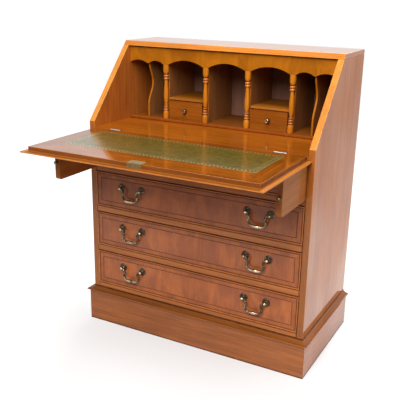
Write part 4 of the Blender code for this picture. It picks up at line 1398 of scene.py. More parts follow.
@dataclass
class Hinge:
    """The brass butt hinges of the fall, each with the bed's leaf and the fall's leaf."""

    reach: float = 0.015
    plate: float = 0.0016
    knuckle_radius: float = 0.003
    knuckle_length: float = 0.009
    screw_radius: float = 0.0024
    screw_spread: float = 0.29
    screw_place: float = 0.66
    tab_overlap: float = 1.2
    arris: float = 0.0004
    arris_angle: float = 50.0

    def recesses(self, way: int) -> list[Piece]:
        """Cutters for the leaves and knuckles.

        Args:
            way: 1 for the bed, behind the axis, and -1 for the fall.

        Returns:
            The cutters.
        """
        axis = joint_place("fall_hinge")
        cutters = []
        for side, _ in SIDES:
            low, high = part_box(f"hinge_bed_leaf_{side}")
            ends = sorted((axis.y, axis.y + way * (self.reach + TOUCH)))
            cutters.append(block("leaf_recess", (low.x - TOUCH, ends[0], axis.z - self.plate - TOUCH),
                                 (high.x + TOUCH, ends[1], axis.z + self.plate)))
            cutters.append(rod("groove", self.knuckle_radius + 2 * TOUCH, (low.x - TOUCH, axis.y, axis.z),
                               (high.x + TOUCH, axis.y, axis.z)))
        return cutters

    def leaf(self, name: str, way: int, knuckles: Sequence[Pair]) -> Piece:
        """A left leaf: plate, knuckles and two screws.

        Args:
            name: The piece's name.
            way: 1 for the bed's leaf, -1 for the fall's.
            knuckles: x range of each knuckle.

        Returns:
            The leaf.
        """
        axis = joint_place("fall_hinge")
        low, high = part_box("hinge_bed_leaf_left")
        clear = self.knuckle_radius + 2 * TOUCH
        ends = sorted((axis.y + way * clear, axis.y + way * self.reach))
        piece = block(name, (low.x, ends[0], axis.z - self.plate), (high.x, ends[1], axis.z))
        tools = []
        for start, end in knuckles:
            tab = sorted((axis.y, axis.y + way * clear * self.tab_overlap))
            tools.append(block("tab", (start, tab[0], axis.z - self.plate), (end, tab[1], axis.z)))
            ends = (start, axis.y, axis.z), (end, axis.y, axis.z)
            tools.append(rod("knuckle", self.knuckle_radius, *ends, 32))
        carve(piece, tools, Joinery.UNION)
        ease(piece, self.arris, 2, sharper(self.arris_angle))
        middle_x = (low.x + high.x) / 2
        spread = (high.x - low.x) * self.screw_spread
        places = [(x, axis.y + way * self.reach * self.screw_place, axis.z - TOUCH)
                  for x in (middle_x - spread, middle_x + spread)]
        return gather(piece, Screw(self.screw_radius, Axis.UP).set_at(places))

    def build(self) -> None:
        """Model and dress both leaves of both hinges."""
        low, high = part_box("hinge_bed_leaf_left")
        outer = [(low.x, low.x + self.knuckle_length), (high.x - self.knuckle_length, high.x)]
        inner = [(low.x + self.knuckle_length + TOUCH, high.x - self.knuckle_length - TOUCH)]
        axis = joint_place("fall_hinge")

        def on_knuckle(face: Any) -> bool:
            """True for a face of the hinge's barrel."""
            spot = centre_of(face)
            return math.hypot(spot.y - axis.y, spot.z - axis.z) < self.knuckle_radius + TOUCH

        for body, place, way, knuckles in (("carcase", "bed", 1, outer), ("fall", "fall", -1, inner)):
            left = self.leaf(f"{place}_hinge_left", way, knuckles)
            fit_pair(left, f"hinge_{place}_leaf", body, LEAF_BRASS, (KNUCKLE_BRASS, on_knuckle))


@dataclass
class Fall:
    """The fall: lip and field, leather, lock and key plate."""

    lip_thickness: float = 0.0051
    lip_round: float = 0.003
    lip_margin: float = 0.017
    lip_lit_share: float = 0.75
    arris: float = 0.0009
    line_place: float = 0.040
    pocket_rise: float = 0.002
    leather_round: float = 0.6
    lock_plate: float = 0.0015
    lock_depth: float = 0.030
    lock_case: Point = (0.036, 0.022, 0.008)
    lock_arris: float = 0.0003
    hook_hole: Pair = (0.007, 0.006)
    hook_place: float = 0.010
    hook_depth: float = 0.8
    screw_radius: float = 0.0022
    screw_inset: float = 0.006
    screw_place: float = 0.72
    key_plate_radius: float = 0.0105
    key_plate_proud: float = 0.0005
    key_plate_place: float = 0.012
    keyhole_radius: float = 0.2
    key_slot: Pair = (0.09, 0.55)
    key_reach: float = 0.002

    def field_front(self) -> float:
        """The y of the field's front edge."""
        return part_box("fall_lock")[0].y

    def panel(self) -> None:
        """A thin rounded lip round a thicker field, recessed for its fittings."""
        low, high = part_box("fall_panel")
        piece = block("fall_board", low, (high.x, high.y, low.z + self.lip_thickness))
        ease(piece, self.lip_round, 5, lambda edge: middle(edge).z < low.z + NEAR
             and middle(edge).y < high.y - NEAR)
        raised = block("field", (low.x + self.lip_margin, self.field_front(), low.z + self.lip_thickness / 2),
                       (high.x - self.lip_margin, high.y, high.z))
        carve(piece, [raised], Joinery.UNION)
        ease(piece, self.arris, 3, lambda edge: middle(edge).z > low.z + self.lip_round + NEAR
             and middle(edge).y < high.y - NEAR)
        leather_low, leather_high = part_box("fall_leather")
        grow = Vector((TOUCH, TOUCH, TOUCH))
        above = Vector((0.0, 0.0, self.pocket_rise))
        pocket = block("leather_pocket", leather_low - grow, leather_high + grow + above)
        carve(piece, [pocket, *self.lock_boxes(TOUCH), *Hinge().recesses(-1)])
        # The side ledges split where their painted highlight gives way to painted shade by the step
        worn = high.x - self.lip_lit_share * self.lip_margin
        for sign in (-1, 1):
            saw(piece, (sign * worn, 0.0, 0.0), (1.0, 0.0, 0.0), discard=False)
        centre = ((low.x + high.x) / 2, (low.y + high.y) / 2, low.z)
        half = ((high.x - low.x) / 2, (high.y - low.y) / 2)
        top = replace(FALL_VENEER, centre=centre, half_width=half[0], half_height=half[1])
        outside = replace(PANEL_VENEER, name="fall_outside_veneer", plane=Plane.LEVEL, centre=centre,
                          half_width=half[0], half_height=half[1], line_place=self.line_place)
        lip_top = low.z + self.lip_thickness
        dress(piece, top,
              (STEP_SHADED_WOOD, lambda face: centre_of(face).z > lip_top and face.normal.z < 0.3),
              (LIP_SHADED_WOOD, lambda face: centre_of(face).z < lip_top + NEAR),
              (LIP_SIDE_LIT_WOOD, lambda face: abs(centre_of(face).z - lip_top) < NEAR
               and abs(centre_of(face).x) > worn),
              (LIP_EDGE_LIT_WOOD, lambda face: centre_of(face).z < lip_top - CLOSE and face.normal.z < 0.7),
              (outside, lambda face: face.normal.z < -0.9 and centre_of(face).z < low.z + NEAR))
        seat(piece, "fall", "fall_panel")

    def leather(self) -> None:
        """The tooled leather, let in flush."""
        low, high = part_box("fall_leather")
        hide = block("leather_skiver", low, high)
        ease(hide, (high.z - low.z) * self.leather_round, 3, lambda edge: middle(edge).z > high.z - CLOSE)
        centre = (low + high) / 2
        dress(hide, TooledLeather("tooled_leather", tuple(centre), (high.x - low.x) / 2,
                                  (high.y - low.y) / 2))
        seat(hide, "fall", "fall_leather")

    def lock_boxes(self, margin: float) -> list[Piece]:
        """The lock's top plate, front plate and case.

        Args:
            margin: How far each is grown, for a recess.

        Returns:
            The three blocks.
        """
        low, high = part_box("fall_lock")
        proud = margin + (self.lock_plate if margin else 0.0)
        width, depth, height = self.lock_case
        top = block("lock_top", (low.x - margin, low.y - proud, high.z - self.lock_plate - margin),
                    (high.x + margin, low.y + self.lock_depth + margin, high.z + proud))
        front = block("lock_front", (low.x - margin, low.y - proud, low.z - margin),
                      (high.x + margin, low.y + self.lock_plate + margin, high.z - self.lock_plate / 2))
        case = block("lock_case",
                     (-width / 2 - margin, low.y + self.lock_plate / 2, high.z - height - margin),
                     (width / 2 + margin, low.y + depth + margin, high.z - self.lock_plate / 2))
        return [top, front, case]

    def lock(self) -> None:
        """The brass lock: plates with hook holes and screws."""
        low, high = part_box("fall_lock")
        piece, front, case = self.lock_boxes(0.0)
        piece.name = "lock_plates"
        carve(piece, [front, case], Joinery.UNION)
        wide, tall = self.hook_hole
        level = (low.z + high.z) / 2
        holes = [block("hook_hole", (x - wide / 2, low.y - 0.001, level - tall / 2),
                       (x + wide / 2, low.y + self.lock_plate * self.hook_depth, level + tall / 2))
                 for x in (-self.hook_place, self.hook_place)]
        carve(piece, holes)
        ease(piece, self.lock_arris, 2, sharper(60.0))
        places = [(x, low.y + self.lock_depth * self.screw_place, high.z - TOUCH)
                  for x in (low.x + self.screw_inset, high.x - self.screw_inset)]
        gather(piece, Screw(self.screw_radius, Axis.UP).set_at(places))
        dress(piece, PLATE_BRASS)
        seat(piece, "fall", "fall_lock")

    def key_plate(self) -> None:
        """A small round key plate on the outside, with its keyhole."""
        place = Vector((0.0, self.field_front() + self.key_plate_place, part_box("fall_panel")[0].z))
        radius, proud = self.key_plate_radius, self.key_plate_proud
        rim = [(0.0, proud), (radius - 2 * proud, proud),
               *quarter((radius - 2 * proud, proud), (radius, -proud), Curl.OUT_FIRST, 5), (0.0, -proud)]
        plate = lathe("key_plate", rim, place, Axis.DOWN)
        reach = Vector((0.0, 0.0, self.key_reach))
        hole = rod("keyhole", radius * self.keyhole_radius, place - reach, place + reach, 24)
        wide, long = (radius * share for share in self.key_slot)
        slot = block("key_slot", place - reach - Vector((wide, 0.0, 0.0)),
                     place + reach + Vector((wide, long, 0.0)))
        carve(plate, [hole, slot])
        dress(plate, PLATE_BRASS)
        seat(plate, "fall")

    def build(self) -> None:
        """Model and dress the fall."""
        self.panel()
        self.leather()
        self.lock()
        self.key_plate()
        Hinge().build()


@dataclass
class Knob:
    """A pair of small turned brass knobs that point forwards."""

    node: str
    brass: Brass = KNOB_BRASS
    dish: float = 0.0
    rim: float = 0.62
    belly_drop: float = 0.75
    waist_radius: float = 0.5
    waist_drop: float = 0.7
    neck_radius: float = 0.46
    neck_height: float = 0.26
    foot_radius: float = 0.8
    foot_height: float = 0.16

    def size(self) -> Pair:
        """Radius and length of one knob."""
        low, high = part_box(f"{self.node}_left")
        return (high.x - low.x) / 2, high.y - low.y

    def profile(self) -> Profile:
        """(radius, height) points from the crown to the base."""
        radius, length = self.size()
        belly = length - radius * self.belly_drop
        waist = (radius * self.waist_radius, belly - radius * self.waist_drop)
        foot = radius * self.foot_radius
        points = [(0.0, length - self.dish)]
        if self.dish:
            points += quarter(points[-1], (radius * self.rim, length), Curl.OUT_FIRST, 5)
        points += quarter(points[-1], (radius, belly), Curl.OUT_FIRST, 8)
        points += quarter(points[-1], waist, Curl.DOWN_FIRST, 5)
        points += [(radius * self.neck_radius, length * self.neck_height)]
        points += quarter(points[-1], (foot, length * self.foot_height), Curl.DOWN_FIRST, 5)
        return points + [(foot, 0.0), (0.0, 0.0)]

    def build(self, name: str, body: str) -> None:
        """Turn one knob, copy it, and dress and seat both.

        Args:
            name: What the knobs are called, without their side.
            body: What carries them, without its side.
        """
        low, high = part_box(f"{self.node}_left")
        radius, length = self.size()
        place = Vector(((low.x + high.x) / 2, high.y, (low.z + high.z) / 2))
        left = lathe(f"{name}_left", self.profile(), place, Axis.FORWARD, 32)
        crown = place - Vector((0.0, length, 0.0))

        def handling(face: Any) -> float:
            """How far a face is rubbed bright: most on the crown, and not in its dish."""
            away = centre_of(face) - crown
            in_dish = self.dish and math.hypot(away.x, away.z) < 0.8 * self.rim * radius
            return 0.0 if in_dish else max(0.0, 1 - away.y / radius)

        rub(left, handling)
        fit_pair(left, self.node, body + "_{}", self.brass)


@dataclass
class Lopers:
    """The two slides that carry the open fall, and their knobs."""

    corner: float = 0.009
    arris: float = 0.0010
    arris_angle: float = 40.0

    def build(self) -> None:
        """Model and dress the slides and their knobs."""
        low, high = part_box("loper_left")
        left = block("loper_slide_left", low, high)
        ease(left, self.corner, 8, lambda edge: middle(edge).y < low.y + NEAR
             and middle(edge).z < low.z + NEAR)
        ease(left, self.arris, 2, sharper(self.arris_angle))
        fit_pair(left, "loper", "loper_{}", LOPER_WOOD)
        Knob("loper_knob", PULL_BRASS).build("loper_pull", "loper")


@dataclass
class Drawer:
    """A drawer: veneered front, raised bead round it, and its box."""

    node: str
    front_thickness: float = 0.020
    side_thickness: float = 0.011
    floor_thickness: float = 0.006
    side_drop: float = 0.010
    bead_width: float = 0.004
    bead_height: float = 0.0015
    bead_shade: float = 0.0009
    arris: float = 0.0007

    def box(self, finish: Finish) -> None:
        """The front and the box behind it, one glued piece.

        Args:
            finish: The finish of the front's face.
        """
        low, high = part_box(self.node)
        face_y = low.y + self.bead_height
        inner = face_y + self.front_thickness
        piece = block(f"{self.node}_case", (low.x, face_y, low.z), (high.x, inner, high.z))
        tray = block("tray", (low.x, face_y + self.front_thickness / 2, low.z),
                     (high.x, high.y, high.z - self.side_drop))
        carve(piece, [tray], Joinery.UNION)
        pocket = block("pocket", (low.x + self.side_thickness, inner, low.z + self.floor_thickness),
                       (high.x - self.side_thickness, high.y - self.side_thickness, high.z + self.side_drop))
        carve(piece, [pocket])
        ease(piece, self.arris, 2, lambda edge: middle(edge).z > low.z + NEAR)
        # Painted shade on the front's edges, in the gap round the drawer
        dress(piece, LINING_WOOD, (GAP_SHADE_WOOD, lambda face: centre_of(face).y < inner - NEAR),
              (finish, lambda face: face.normal.y < -0.9 and centre_of(face).y < face_y + NEAR))
        seat(piece, self.node, self.node)

    def bead(self) -> None:
        """The raised bead, a frame with a round nose."""
        low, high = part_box(self.node)
        back = low.y + self.bead_height + TOUCH
        piece = block(f"{self.node}_bead", low, (high.x, back, high.z))
        centre = (low + high) / 2
        with editing(piece):
            pick(piece, Pick.FACE, lambda face: abs(face.normal.y) > 0.9)
            bpy.ops.mesh.inset(thickness=self.bead_width, use_individual=True)
            pick(piece, Pick.FACE, lambda face: abs(face.normal.y) > 0.9
                 and abs(centre_of(face).x - centre.x) < NEAR and abs(centre_of(face).z - centre.z) < NEAR)
            bpy.ops.mesh.bridge_edge_loops()
        ease(piece, self.bead_height, 4, foremost(low.y))
        inner = Vector((self.bead_shade, 0.0, self.bead_shade))
        # Painted shade on the bead's outer side, in the gap
        dress(piece, BEAD_WOOD,
              (GAP_SHADE_WOOD, lambda face: not inside(centre_of(face), low + inner, high - inner)))
        seat(piece, self.node)

    def build(self, cut_from: Point) -> None:
        """Model and dress the drawer.

        Args:
            cut_from: Where in the veneer its front was cut.
        """
        low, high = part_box(self.node)
        centre = ((low.x + high.x) / 2, low.y + self.bead_height, (low.z + high.z) / 2)
        veneer = replace(PANEL_VENEER, name=f"{self.node}_veneer", centre=centre, cut_from=cut_from,
                         half_width=(high.x - low.x) / 2, half_height=(high.z - low.z) / 2)
        self.box(veneer)
        self.bead()


@dataclass
class Handles:
    """Swan-neck handles: rosette posts on a strap, and the hanging bail."""

    post_spacing: float = 0.0795
    post_reach: float = 0.0135
    head_radius: float = 0.0052
    neck_radius: float = 0.0036
    rosette_radius: float = 0.0142
    rosette_height: float = 0.0036
    front_thickness: float = 0.020
    strap_height: float = 0.009
    strap_thickness: float = 0.0012
    nut_radius: float = 0.0042
    nut_height: float = 0.0022
    bail_radius: float = 0.0035
    shoulder_radius: float = 0.0046
    pin_radius: float = 0.0017
    grip_radius: float = 0.0058
    drop: float = 0.041
    curl: float = 0.0046
    pin_depth: float = 0.002
    neck_place: float = 0.55
    boss_share: float = 0.44
    groove_share: float = 0.54
    ring_share: float = 0.67
    ring_half: float = 0.11
    ring_rise: float = 0.4
    dish_share: float = 0.82
    dish_level: float = 0.5
    rim_level: float = 0.15
    strap_round: float = 0.4
    strap_arris: float = 0.0002
    nut_arris: float = 0.2
    post_bright: float = 0.8
    grip_level: float = 0.9
    least_bright: float = 0.12

    def post_profile(self) -> Profile:
        """(radius, height) points from the head to the rosette's base, height 0 on the bail's axis."""
        base = TOUCH - self.post_reach

        def rosette(share: float, level: float) -> Pair:
            """A point of the rosette, in shares of its radius and height."""
            return self.rosette_radius * share, base + self.rosette_height * level

        points = [(self.head_radius * math.sin(angle), self.head_radius * math.cos(angle))
                  for angle in [math.radians(12.0 * index) for index in range(12)]]
        points += quarter(points[-1], (self.neck_radius, -self.post_reach * self.neck_place),
                          Curl.DOWN_FIRST, 4)
        points += quarter(points[-1], rosette(self.boss_share, 1.0), Curl.DOWN_FIRST, 4)
        points += quarter(points[-1], rosette(self.groove_share, self.dish_level), Curl.OUT_FIRST, 3)
        points += [rosette(self.ring_share - self.ring_half * math.cos(angle),
                           self.dish_level + self.ring_rise * math.sin(angle))
                   for angle in [math.radians(30.0 * index) for index in range(7)]]
        points += quarter(rosette(self.dish_share, self.dish_level), rosette(1.0, self.rim_level),
                          Curl.OUT_FIRST, 4)
        return points + [rosette(1.0, 0.0), (0.0, base)]

    def mount(self) -> Piece:
        """Two posts, and the strap and nuts inside the drawer, about the bail's axis."""
        strap_y = self.post_reach + self.front_thickness + TOUCH
        half = self.post_spacing / 2 + self.strap_height / 2
        strap = block("mount_model", (-half, strap_y, -self.strap_height / 2),
                      (half, strap_y + self.strap_thickness, self.strap_height / 2))
        strap_middle = strap_y + self.strap_thickness / 2
        ease(strap, self.strap_height * self.strap_round, 5,
             lambda edge: abs(middle(edge).y - strap_middle) < CLOSE)
        ease(strap, self.strap_arris, 2, sharper(60.0))
        shells = []
        for _, sign in SIDES:
            x = sign * self.post_spacing / 2
            post = lathe("post", self.post_profile(), (x, 0.0, 0.0), Axis.FORWARD, 32)
            rub(post, lambda face: self.post_bright * max(0.0, 1 - (centre_of(face).y + self.head_radius)
                                                          / self.post_reach))
            nut_y = strap_y + self.strap_thickness - TOUCH
            nut = rod("nut", self.nut_radius, (x, nut_y, 0.0), (x, nut_y + self.nut_height, 0.0), 6)
            ease(nut, self.nut_height * self.nut_arris, 2)
            shells += [post, nut]
        return gather(strap, shells)

    def handling(self, face: Any) -> float:
        """How far a face of the bail is rubbed bright by hands: most at the grip's middle."""
        spot = centre_of(face)
        if spot.z > -self.grip_level * self.drop:
            return self.least_bright
        return max(self.least_bright, 1.0 - abs(spot.x) / (0.5 * self.post_spacing))

    def bail(self) -> Piece:
        """The bail as a swept tube with a swelling grip, about its axis."""
        post, curl, radius = self.post_spacing / 2, self.curl, self.bail_radius
        elbow = post - self.head_radius - radius / 2
        half = [(post + self.pin_depth, 0.0, self.pin_radius), (elbow, 0.0, self.pin_radius),
                (elbow - 0.8 * curl, -1.5 * curl, self.shoulder_radius),
                (elbow - 1.3 * curl, -3.2 * curl, radius), (elbow - 0.6 * curl, -0.58 * self.drop, radius),
                (elbow - 1.1 * curl, -0.80 * self.drop, radius),
                (elbow - 2.6 * curl, -0.95 * self.drop, radius)]
        path = half + [(0.0, -self.drop, self.grip_radius)] + [(-x, z, r) for x, z, r in reversed(half)]
        clear_selection()
        bpy.ops.curve.primitive_bezier_curve_add()
        wire = bpy.context.object
        wire.data.dimensions = "3D"
        wire.data.bevel_depth = 1.0
        wire.data.bevel_resolution = 5
        wire.data.resolution_u = 8
        wire.data.use_fill_caps = True
        points = wire.data.splines[0].bezier_points
        points.add(len(path) - len(points))
        for index, (point, (x, z, radius)) in enumerate(zip(points, path)):
            at_pin = index < 2 or index > len(path) - 3
            point.co = (x, 0.0, z)
            point.radius = radius
            point.handle_left_type = point.handle_right_type = "VECTOR" if at_pin else "AUTO"
        focus(wire)
        bpy.ops.object.convert(target="MESH")
        piece = settle("bail_model")
        with editing(piece):
            weld()
        rub(piece, self.handling)
        return piece

    def build(self) -> None:
        """Model one mount and one bail, and fit a copy of each at every handle's place."""
        mount, bail = self.mount(), self.bail()
        for number in NUMBERS:
            for side, _ in SIDES:
                axis = joint_place(f"bail_{number}_{side}_hinge")
                for model, name, body in ((mount, f"handle_mount_{number}_{side}", f"drawer_{number}"),
                                          (bail, f"bail_{number}_{side}", f"bail_{number}_{side}")):
                    piece = copy_of(model, f"brass_{name}", axis)
                    dress(piece, HANDLE_BRASS)
                    seat(piece, body, name)
        for model in (mount, bail):
            bpy.data.objects.remove(model)


@dataclass
class Fitment:
    """Pigeonholes: base, arched valance, turned columns, dividers and two small drawers."""

    column_radius: float = 0.0105
    neck_radius: float = 0.0058
    shaft_radius: float = 0.0086
    ring_radius: float = 0.0094
    bead_radius: float = 0.0078
    bead_growth: float = 0.08
    groove_radius: float = 0.0055
    cap_share: float = 0.172
    neck_share: float = 0.012
    ring_share: float = 0.048
    bead_share: float = 0.047
    bead_count: int = 3
    foot_share: float = 0.148
    shadow_line: float = 0.0042
    wide_rise: float = 0.018
    narrow_rise: float = 0.010
    divider_thickness: float = 0.015
    shelf_low: float = 0.8013
    shelf_thickness: float = 0.007
    serpentine_recess: float = 0.025
    serpentine_foot: float = 0.006
    serpentine_start: float = 0.045
    serpentine_steps: int = 36
    arris: float = 0.0008
    base_round: float = 0.3
    arch_sides: int = 240
    shaft_steps: int = 17
    shaft_lean: float = 1.6
    groove_soil: float = 1.36

    def column_xs(self) -> list[float]:
        """x of each column's axis."""
        return [sum(corner.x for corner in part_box(f"column_{number}")) / 2 for number in NUMBERS]

    def base(self) -> None:
        """The base board with a rounded front edge."""
        low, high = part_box("fitment_base")
        board = block("fitment_base_board", low, high)
        ease(board, (high.z - low.z) * self.base_round, 4, foremost(low.y))
        floor = replace(BAY_FLOOR_WOOD, front=low.y, back=high.y)
        dress(board, floor, (BASE_WOOD, facing_front(0.3)))
        seat(board, "carcase", "fitment_base")

    def valance(self) -> None:
        """The valance with a low arch over every bay."""
        low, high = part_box("valance")
        board = block("valance_board", low, high)
        stops = [(x - self.column_radius, x + self.column_radius) for x in self.column_xs()]
        stops += [tuple(corner.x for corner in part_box(f"serpentine_divider_{side}")) for side, _ in SIDES]
        stops.sort()
        starts = [low.x] + [stop[1] for stop in stops]
        ends = [stop[0] for stop in stops] + [high.x]
        cutters = []
        for start, end in zip(starts, ends):
            half = (end - start) / 2
            rise = self.wide_rise if half > 4 * self.column_radius else self.narrow_rise
            radius = (half * half + rise * rise) / (2 * rise)
            x, z = (start + end) / 2, low.z + rise - radius
            cutters.append(rod("arch", radius, (x, low.y - 0.01, z), (x, high.y + 0.01, z), self.arch_sides))
        carve(board, cutters)
        ease(board, self.arris, 2, foremost(low.y))
        # Painted shadow along the valance's top, under the top board's front edge
        line = high.z - self.shadow_line
        saw(board, (0.0, 0.0, line), (0.0, 0.0, 1.0), discard=False)
        soil(board, lambda face: centre_of(face).z > line)
        dress(board, VALANCE_VENEER)
        seat(board, "carcase", "valance")

    def beads(self, top: float, height: float, bellies: Place) -> Profile:
        """Points of a run of half-round beads, from the top down.

        Args:
            top: Height where the run begins.
            height: Height of one bead.
            bellies: Radius of each bead's belly.

        Returns:
            The (radius, height) points.
        """
        points = []
        for index, belly in enumerate(bellies):
            start = top - index * height
            widest = (belly, start - height / 2)
            points.append((self.groove_radius, start))
            points += quarter(points[-1], widest, Curl.OUT_FIRST, 4)
            points += quarter(widest, (self.groove_radius, start - height), Curl.DOWN_FIRST, 4)[:-1]
        return points

    def column_profile(self, height: float) -> Profile:
        """A column as (radius, height) points, from its cap down to its foot.

        Args:
            height: The column's height.

        Returns:
            The points.
        """
        wide = self.column_radius
        cap, foot = self.cap_share * height, self.foot_share * height
        ring, bead = self.ring_share * height, self.bead_share * height
        cap_foot = height - cap
        ring_top = cap_foot - self.neck_share * height
        shaft_top = ring_top - 2 * ring
        beads_top = foot + self.bead_count * bead
        points = [(0.0, height), (wide * 0.95, height), (wide, height - cap * 0.3),
                  (wide * 0.96, cap_foot + cap * 0.35)]
        points += quarter(points[-1], (self.neck_radius, cap_foot), Curl.DOWN_FIRST, 8)
        points += self.beads(ring_top, ring, [self.ring_radius] * 2)
        swell = self.shaft_radius - self.neck_radius
        for index in range(self.shaft_steps):
            share = index / self.shaft_steps
            radius = self.neck_radius + swell * math.sin(math.pi * share ** self.shaft_lean)
            points.append((radius, shaft_top - (shaft_top - beads_top) * share))
        bellies = [self.bead_radius * (1 + self.bead_growth * index) for index in range(self.bead_count)]
        points += self.beads(beads_top, bead, bellies)
        points.append((self.groove_radius, foot))
        points += quarter(points[-1], (wide * 0.95, foot * 0.62), Curl.OUT_FIRST, 8)
        points += [(wide * 0.95, foot * 0.2), (wide * 0.85, 0.0), (0.0, 0.0)]
        return points

    def columns(self) -> None:
        """Four turned columns, turned once and copied."""
        low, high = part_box("column_1")
        y = (low.y + high.y) / 2
        height = high.z - low.z
        model = lathe("column_model", self.column_profile(height), (0.0, y, low.z), Axis.UP)
        beads_end = self.foot_share + self.bead_count * self.bead_share
        rings_end = self.cap_share + self.neck_share + 2 * self.ring_share
        grooved = [(low.z + self.foot_share * height, low.z + beads_end * height),
                   (high.z - rings_end * height, high.z - self.cap_share * height)]

        def on_ring(face: Any) -> bool:
            """True for the faces of the rings."""
            return any(start < centre_of(face).z < end for start, end in grooved)

        def in_groove(face: Any) -> bool:
            """True for the narrow faces between the rings."""
            spot = centre_of(face)
            return on_ring(face) and math.hypot(spot.x, spot.y - y) < self.groove_radius * self.groove_soil

        # Painted shade in the narrow grooves between the rings
        soil(model, in_groove)
        for number, x in enumerate(self.column_xs(), start=1):
            column = copy_of(model, f"turned_column_{number}", (x, 0.0, 0.0))
            dress(column, COLUMN_WOOD, (RING_WOOD, on_ring))
            seat(column, "carcase", f"column_{number}")
        bpy.data.objects.remove(model)

    def housings(self) -> None:
        """Two dividers and a shelf on each side of the middle bay."""
        low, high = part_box("drawer_housing_left")
        left = block("housing_left", low, (low.x + self.divider_thickness, high.y, high.z))
        other = block("divider", (high.x - self.divider_thickness, low.y, low.z), high)
        overlap = self.divider_thickness / 2
        shelf = block("shelf", (low.x + overlap, low.y, self.shelf_low),
                      (high.x - overlap, high.y, self.shelf_low + self.shelf_thickness))
        carve(left, [shelf, other], Joinery.UNION)
        ease(left, self.arris, 2, foremost(low.y))
        shelf_wood = replace(SHELF_WOOD, front=low.y, back=(low.y + high.y) / 2)
        fit_pair(left, "drawer_housing", "carcase", PIGEONHOLE_WOOD,
                 (shelf_wood, lambda face: face.normal.z > 0.9), (SHELF_EDGE_WOOD, facing_front(0.5)))

    def ogee(self, share: float) -> float:
        """How far back a serpentine edge stands, from its start (0) up to the valance (1)."""
        hollow = self.serpentine_recess * (1 - math.cos(math.tau * share)) / 2
        return hollow - self.serpentine_foot * (1 + math.cos(math.pi * share)) / 2

    def serpentines(self) -> None:
        """Thin dividers whose front edge runs back in an ogee."""
        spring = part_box("valance")[0].z
        edge_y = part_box("valance")[1].y + TOUCH
        low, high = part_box("serpentine_divider_left")
        start = low.z + self.serpentine_start
        edge = [(low.x, edge_y + self.ogee(0.0), low.z)]
        for step in range(self.serpentine_steps + 1):
            share = step / self.serpentine_steps
            edge.append((low.x, edge_y + self.ogee(share), start + (spring - start) * share))
        left = draw(edge + [(low.x, edge_y, high.z)])
        with editing(left):
            select_all()
            bpy.ops.mesh.extrude_region_move(TRANSFORM_OT_translate={"value": (0.0, high.y - edge_y, 0.0)})
            bpy.ops.transform.resize(value=(1.0, 0.0, 1.0), center_override=(low.x, high.y, low.z))
            select_all()
            bpy.ops.mesh.extrude_region_move(TRANSFORM_OT_translate={"value": (high.x - low.x, 0.0, 0.0)})
            weld()
        focus(left)
        settle("serpentine_left")
        deepest = edge_y + self.serpentine_recess + NEAR
        ease(left, (high.x - low.x) * 0.3, 3, lambda edge: middle(edge).y < deepest
             and abs(edge.verts[0].co.z - edge.verts[1].co.z) > NEAR)
        fit_pair(left, "serpentine_divider", "carcase", PIGEONHOLE_WOOD, (VALANCE_VENEER, facing_front(0.2)))

    def small_drawers(self) -> None:
        """The two small drawers with their knobs."""
        for side, _ in SIDES:
            node = f"small_drawer_{side}"
            drawer = Drawer(node, front_thickness=0.010, side_thickness=0.006, floor_thickness=0.004,
                            side_drop=0.008, bead_height=0.0, arris=0.0012)
            drawer.box(SMALL_FRONT_VENEER)
        Knob("small_knob", dish=0.003).build("small_pull", "small_drawer")

    def build(self) -> None:
        """Model and dress the fitment."""
        self.base()
        self.valance()
        self.columns()
        self.housings()
        self.serpentines()
        self.small_drawers()


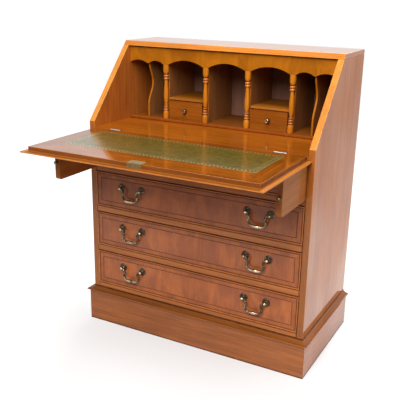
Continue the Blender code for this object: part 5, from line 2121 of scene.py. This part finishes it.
@dataclass
class Studio:
    """Camera, lamps, world and floor."""

    eye: Point = (0.9979, -1.8419, 1.1897)
    yaw: float = 28.258
    pitch: float = -17.8182
    roll: float = -1.0055
    lens: float = 60.0
    # Name, place, side in metres and power in watts
    lamps: tuple[tuple[str, Point, float, float], ...] = (
        ("key_lamp", (0.7, -1.1, 3.0), 1.4, 46.0),
        ("front_lamp", (0.40, -2.55, 2.6), 1.4, 104.0),
        ("fill_lamp", (2.7, 0.7, 0.8), 1.6, 33.0),
        ("back_lamp", (-0.8, 2.9, 2.3), 1.6, 34.0))
    lamp_aim: Point = (0.0, 0.0, 0.6)
    ambient: float = 0.12
    ambient_tint: Colour = (1.0, 0.985, 0.96)
    white: Colour = (1.0, 1.0, 1.0)
    floor_size: float = 200.0
    floor_level: float = -0.0005
    floor_paint: Colour = (0.46, 0.46, 0.46)
    floor_roughness: float = 0.9
    glow_centre: Point = (0.05, -0.25, 0.0)
    near_glow: float = 0.44
    far_glow: float = 0.88
    near_reach: float = 0.30
    far_reach: float = 1.10
    sheet_start: float = 0.4
    sheet_end: float = 1.5
    sheet_fade: float = 0.10
    room_start: float = 1.0
    room_end: float = 2.4
    room_fade: float = 0.62

    def camera(self) -> None:
        """The camera at the photograph's place."""
        turn = (Matrix.Rotation(math.radians(self.yaw), 3, "Z")
                @ Matrix.Rotation(math.radians(self.pitch), 3, "X")
                @ Matrix.Rotation(math.radians(self.roll), 3, "Y")
                @ Matrix.Rotation(math.pi / 2, 3, "X"))
        clear_selection()
        bpy.ops.object.camera_add(location=self.eye, rotation=turn.to_euler())
        camera = bpy.context.object
        camera.name = "camera"
        camera.data.lens = self.lens
        bpy.context.scene.camera = camera

    def light(self) -> None:
        """Square soft lamps that face the bureau."""
        for name, place, size, power in self.lamps:
            clear_selection()
            turn = (Vector(self.lamp_aim) - Vector(place)).to_track_quat("-Z", "Y").to_euler()
            bpy.ops.object.light_add(type="AREA", location=place, rotation=turn)
            lamp = bpy.context.object
            lamp.name = name
            lamp.data.size = size
            lamp.data.energy = power

    def world(self) -> None:
        """An even pale light, with a white background for rays from the camera, mirrors and glass."""
        world = bpy.data.worlds.new("studio")
        bpy.context.scene.world = world
        world.use_nodes = True
        graph = Graph(world.node_tree)
        world.node_tree.nodes.clear()
        path = graph.node("LightPath").outputs
        mirrored = graph.math("MAXIMUM", path["Is Glossy Ray"], path["Is Transmission Ray"])
        seen = graph.math("MAXIMUM", path["Is Camera Ray"], mirrored)
        soft = graph.node("Background", {"Color": (*self.ambient_tint, 1.0), "Strength": self.ambient})
        white = graph.node("Background", {"Color": (*self.white, 1.0), "Strength": 1.0})
        mixed = graph.node("MixShader", {0: seen, 1: soft.outputs[0], 2: white.outputs[0]})
        graph.node("OutputWorld", {0: mixed.outputs[0]})

    def floor(self) -> None:
        """A plain pale floor that keeps the shadow, and that mirrors show darker in front and far away."""
        clear_selection()
        bpy.ops.mesh.primitive_plane_add(size=self.floor_size, location=(0.0, 0.0, self.floor_level))
        floor = settle("floor")
        material, graph, shader, place = new_material("floor_paint")
        from_front = graph.turn(place, self.glow_centre, ORIGIN)
        away = graph.node("VectorMath", {0: from_front}, operation="LENGTH").outputs["Value"]
        before = graph.node("SeparateXYZ", {"Vector": from_front}).outputs["Y"]
        glow = graph.ramp(away, self.near_reach, self.far_reach, self.near_glow, self.far_glow)
        sheet = graph.ramp(before, -self.sheet_end, -self.sheet_start, self.sheet_fade, 1.0)
        room = graph.ramp(away, self.room_start, self.room_end, 1.0, self.room_fade)
        path = graph.node("LightPath").outputs
        mirrored = graph.times(path["Is Glossy Ray"], graph.times(sheet, room))
        seen = graph.math("MAXIMUM", path["Is Camera Ray"], mirrored)
        graph.fill(shader, {"Base Color": (*self.floor_paint, 1.0), "Roughness": self.floor_roughness,
                            "Emission Color": (*self.white, 1.0),
                            "Emission Strength": graph.times(seen, glow)})
        floor.data.materials.append(material)

    def build(self) -> None:
        """Set the stage."""
        bpy.context.scene.view_settings.view_transform = "Standard"
        self.camera()
        self.world()
        self.floor()
        self.light()


def main() -> None:
    """Build every sub-assembly in order."""
    logging.basicConfig(level=logging.INFO, format="%(message)s")
    Studio().build()
    Carcase().build()
    Plinth().build()
    Fall().build()
    Lopers().build()
    along, across = VENEER_STEP
    for number in NUMBERS:
        Drawer(f"drawer_{number}").build((along * number, across * number, 0.0))
    Handles().build()
    Fitment().build()


if __name__ == "__main__":
    main()
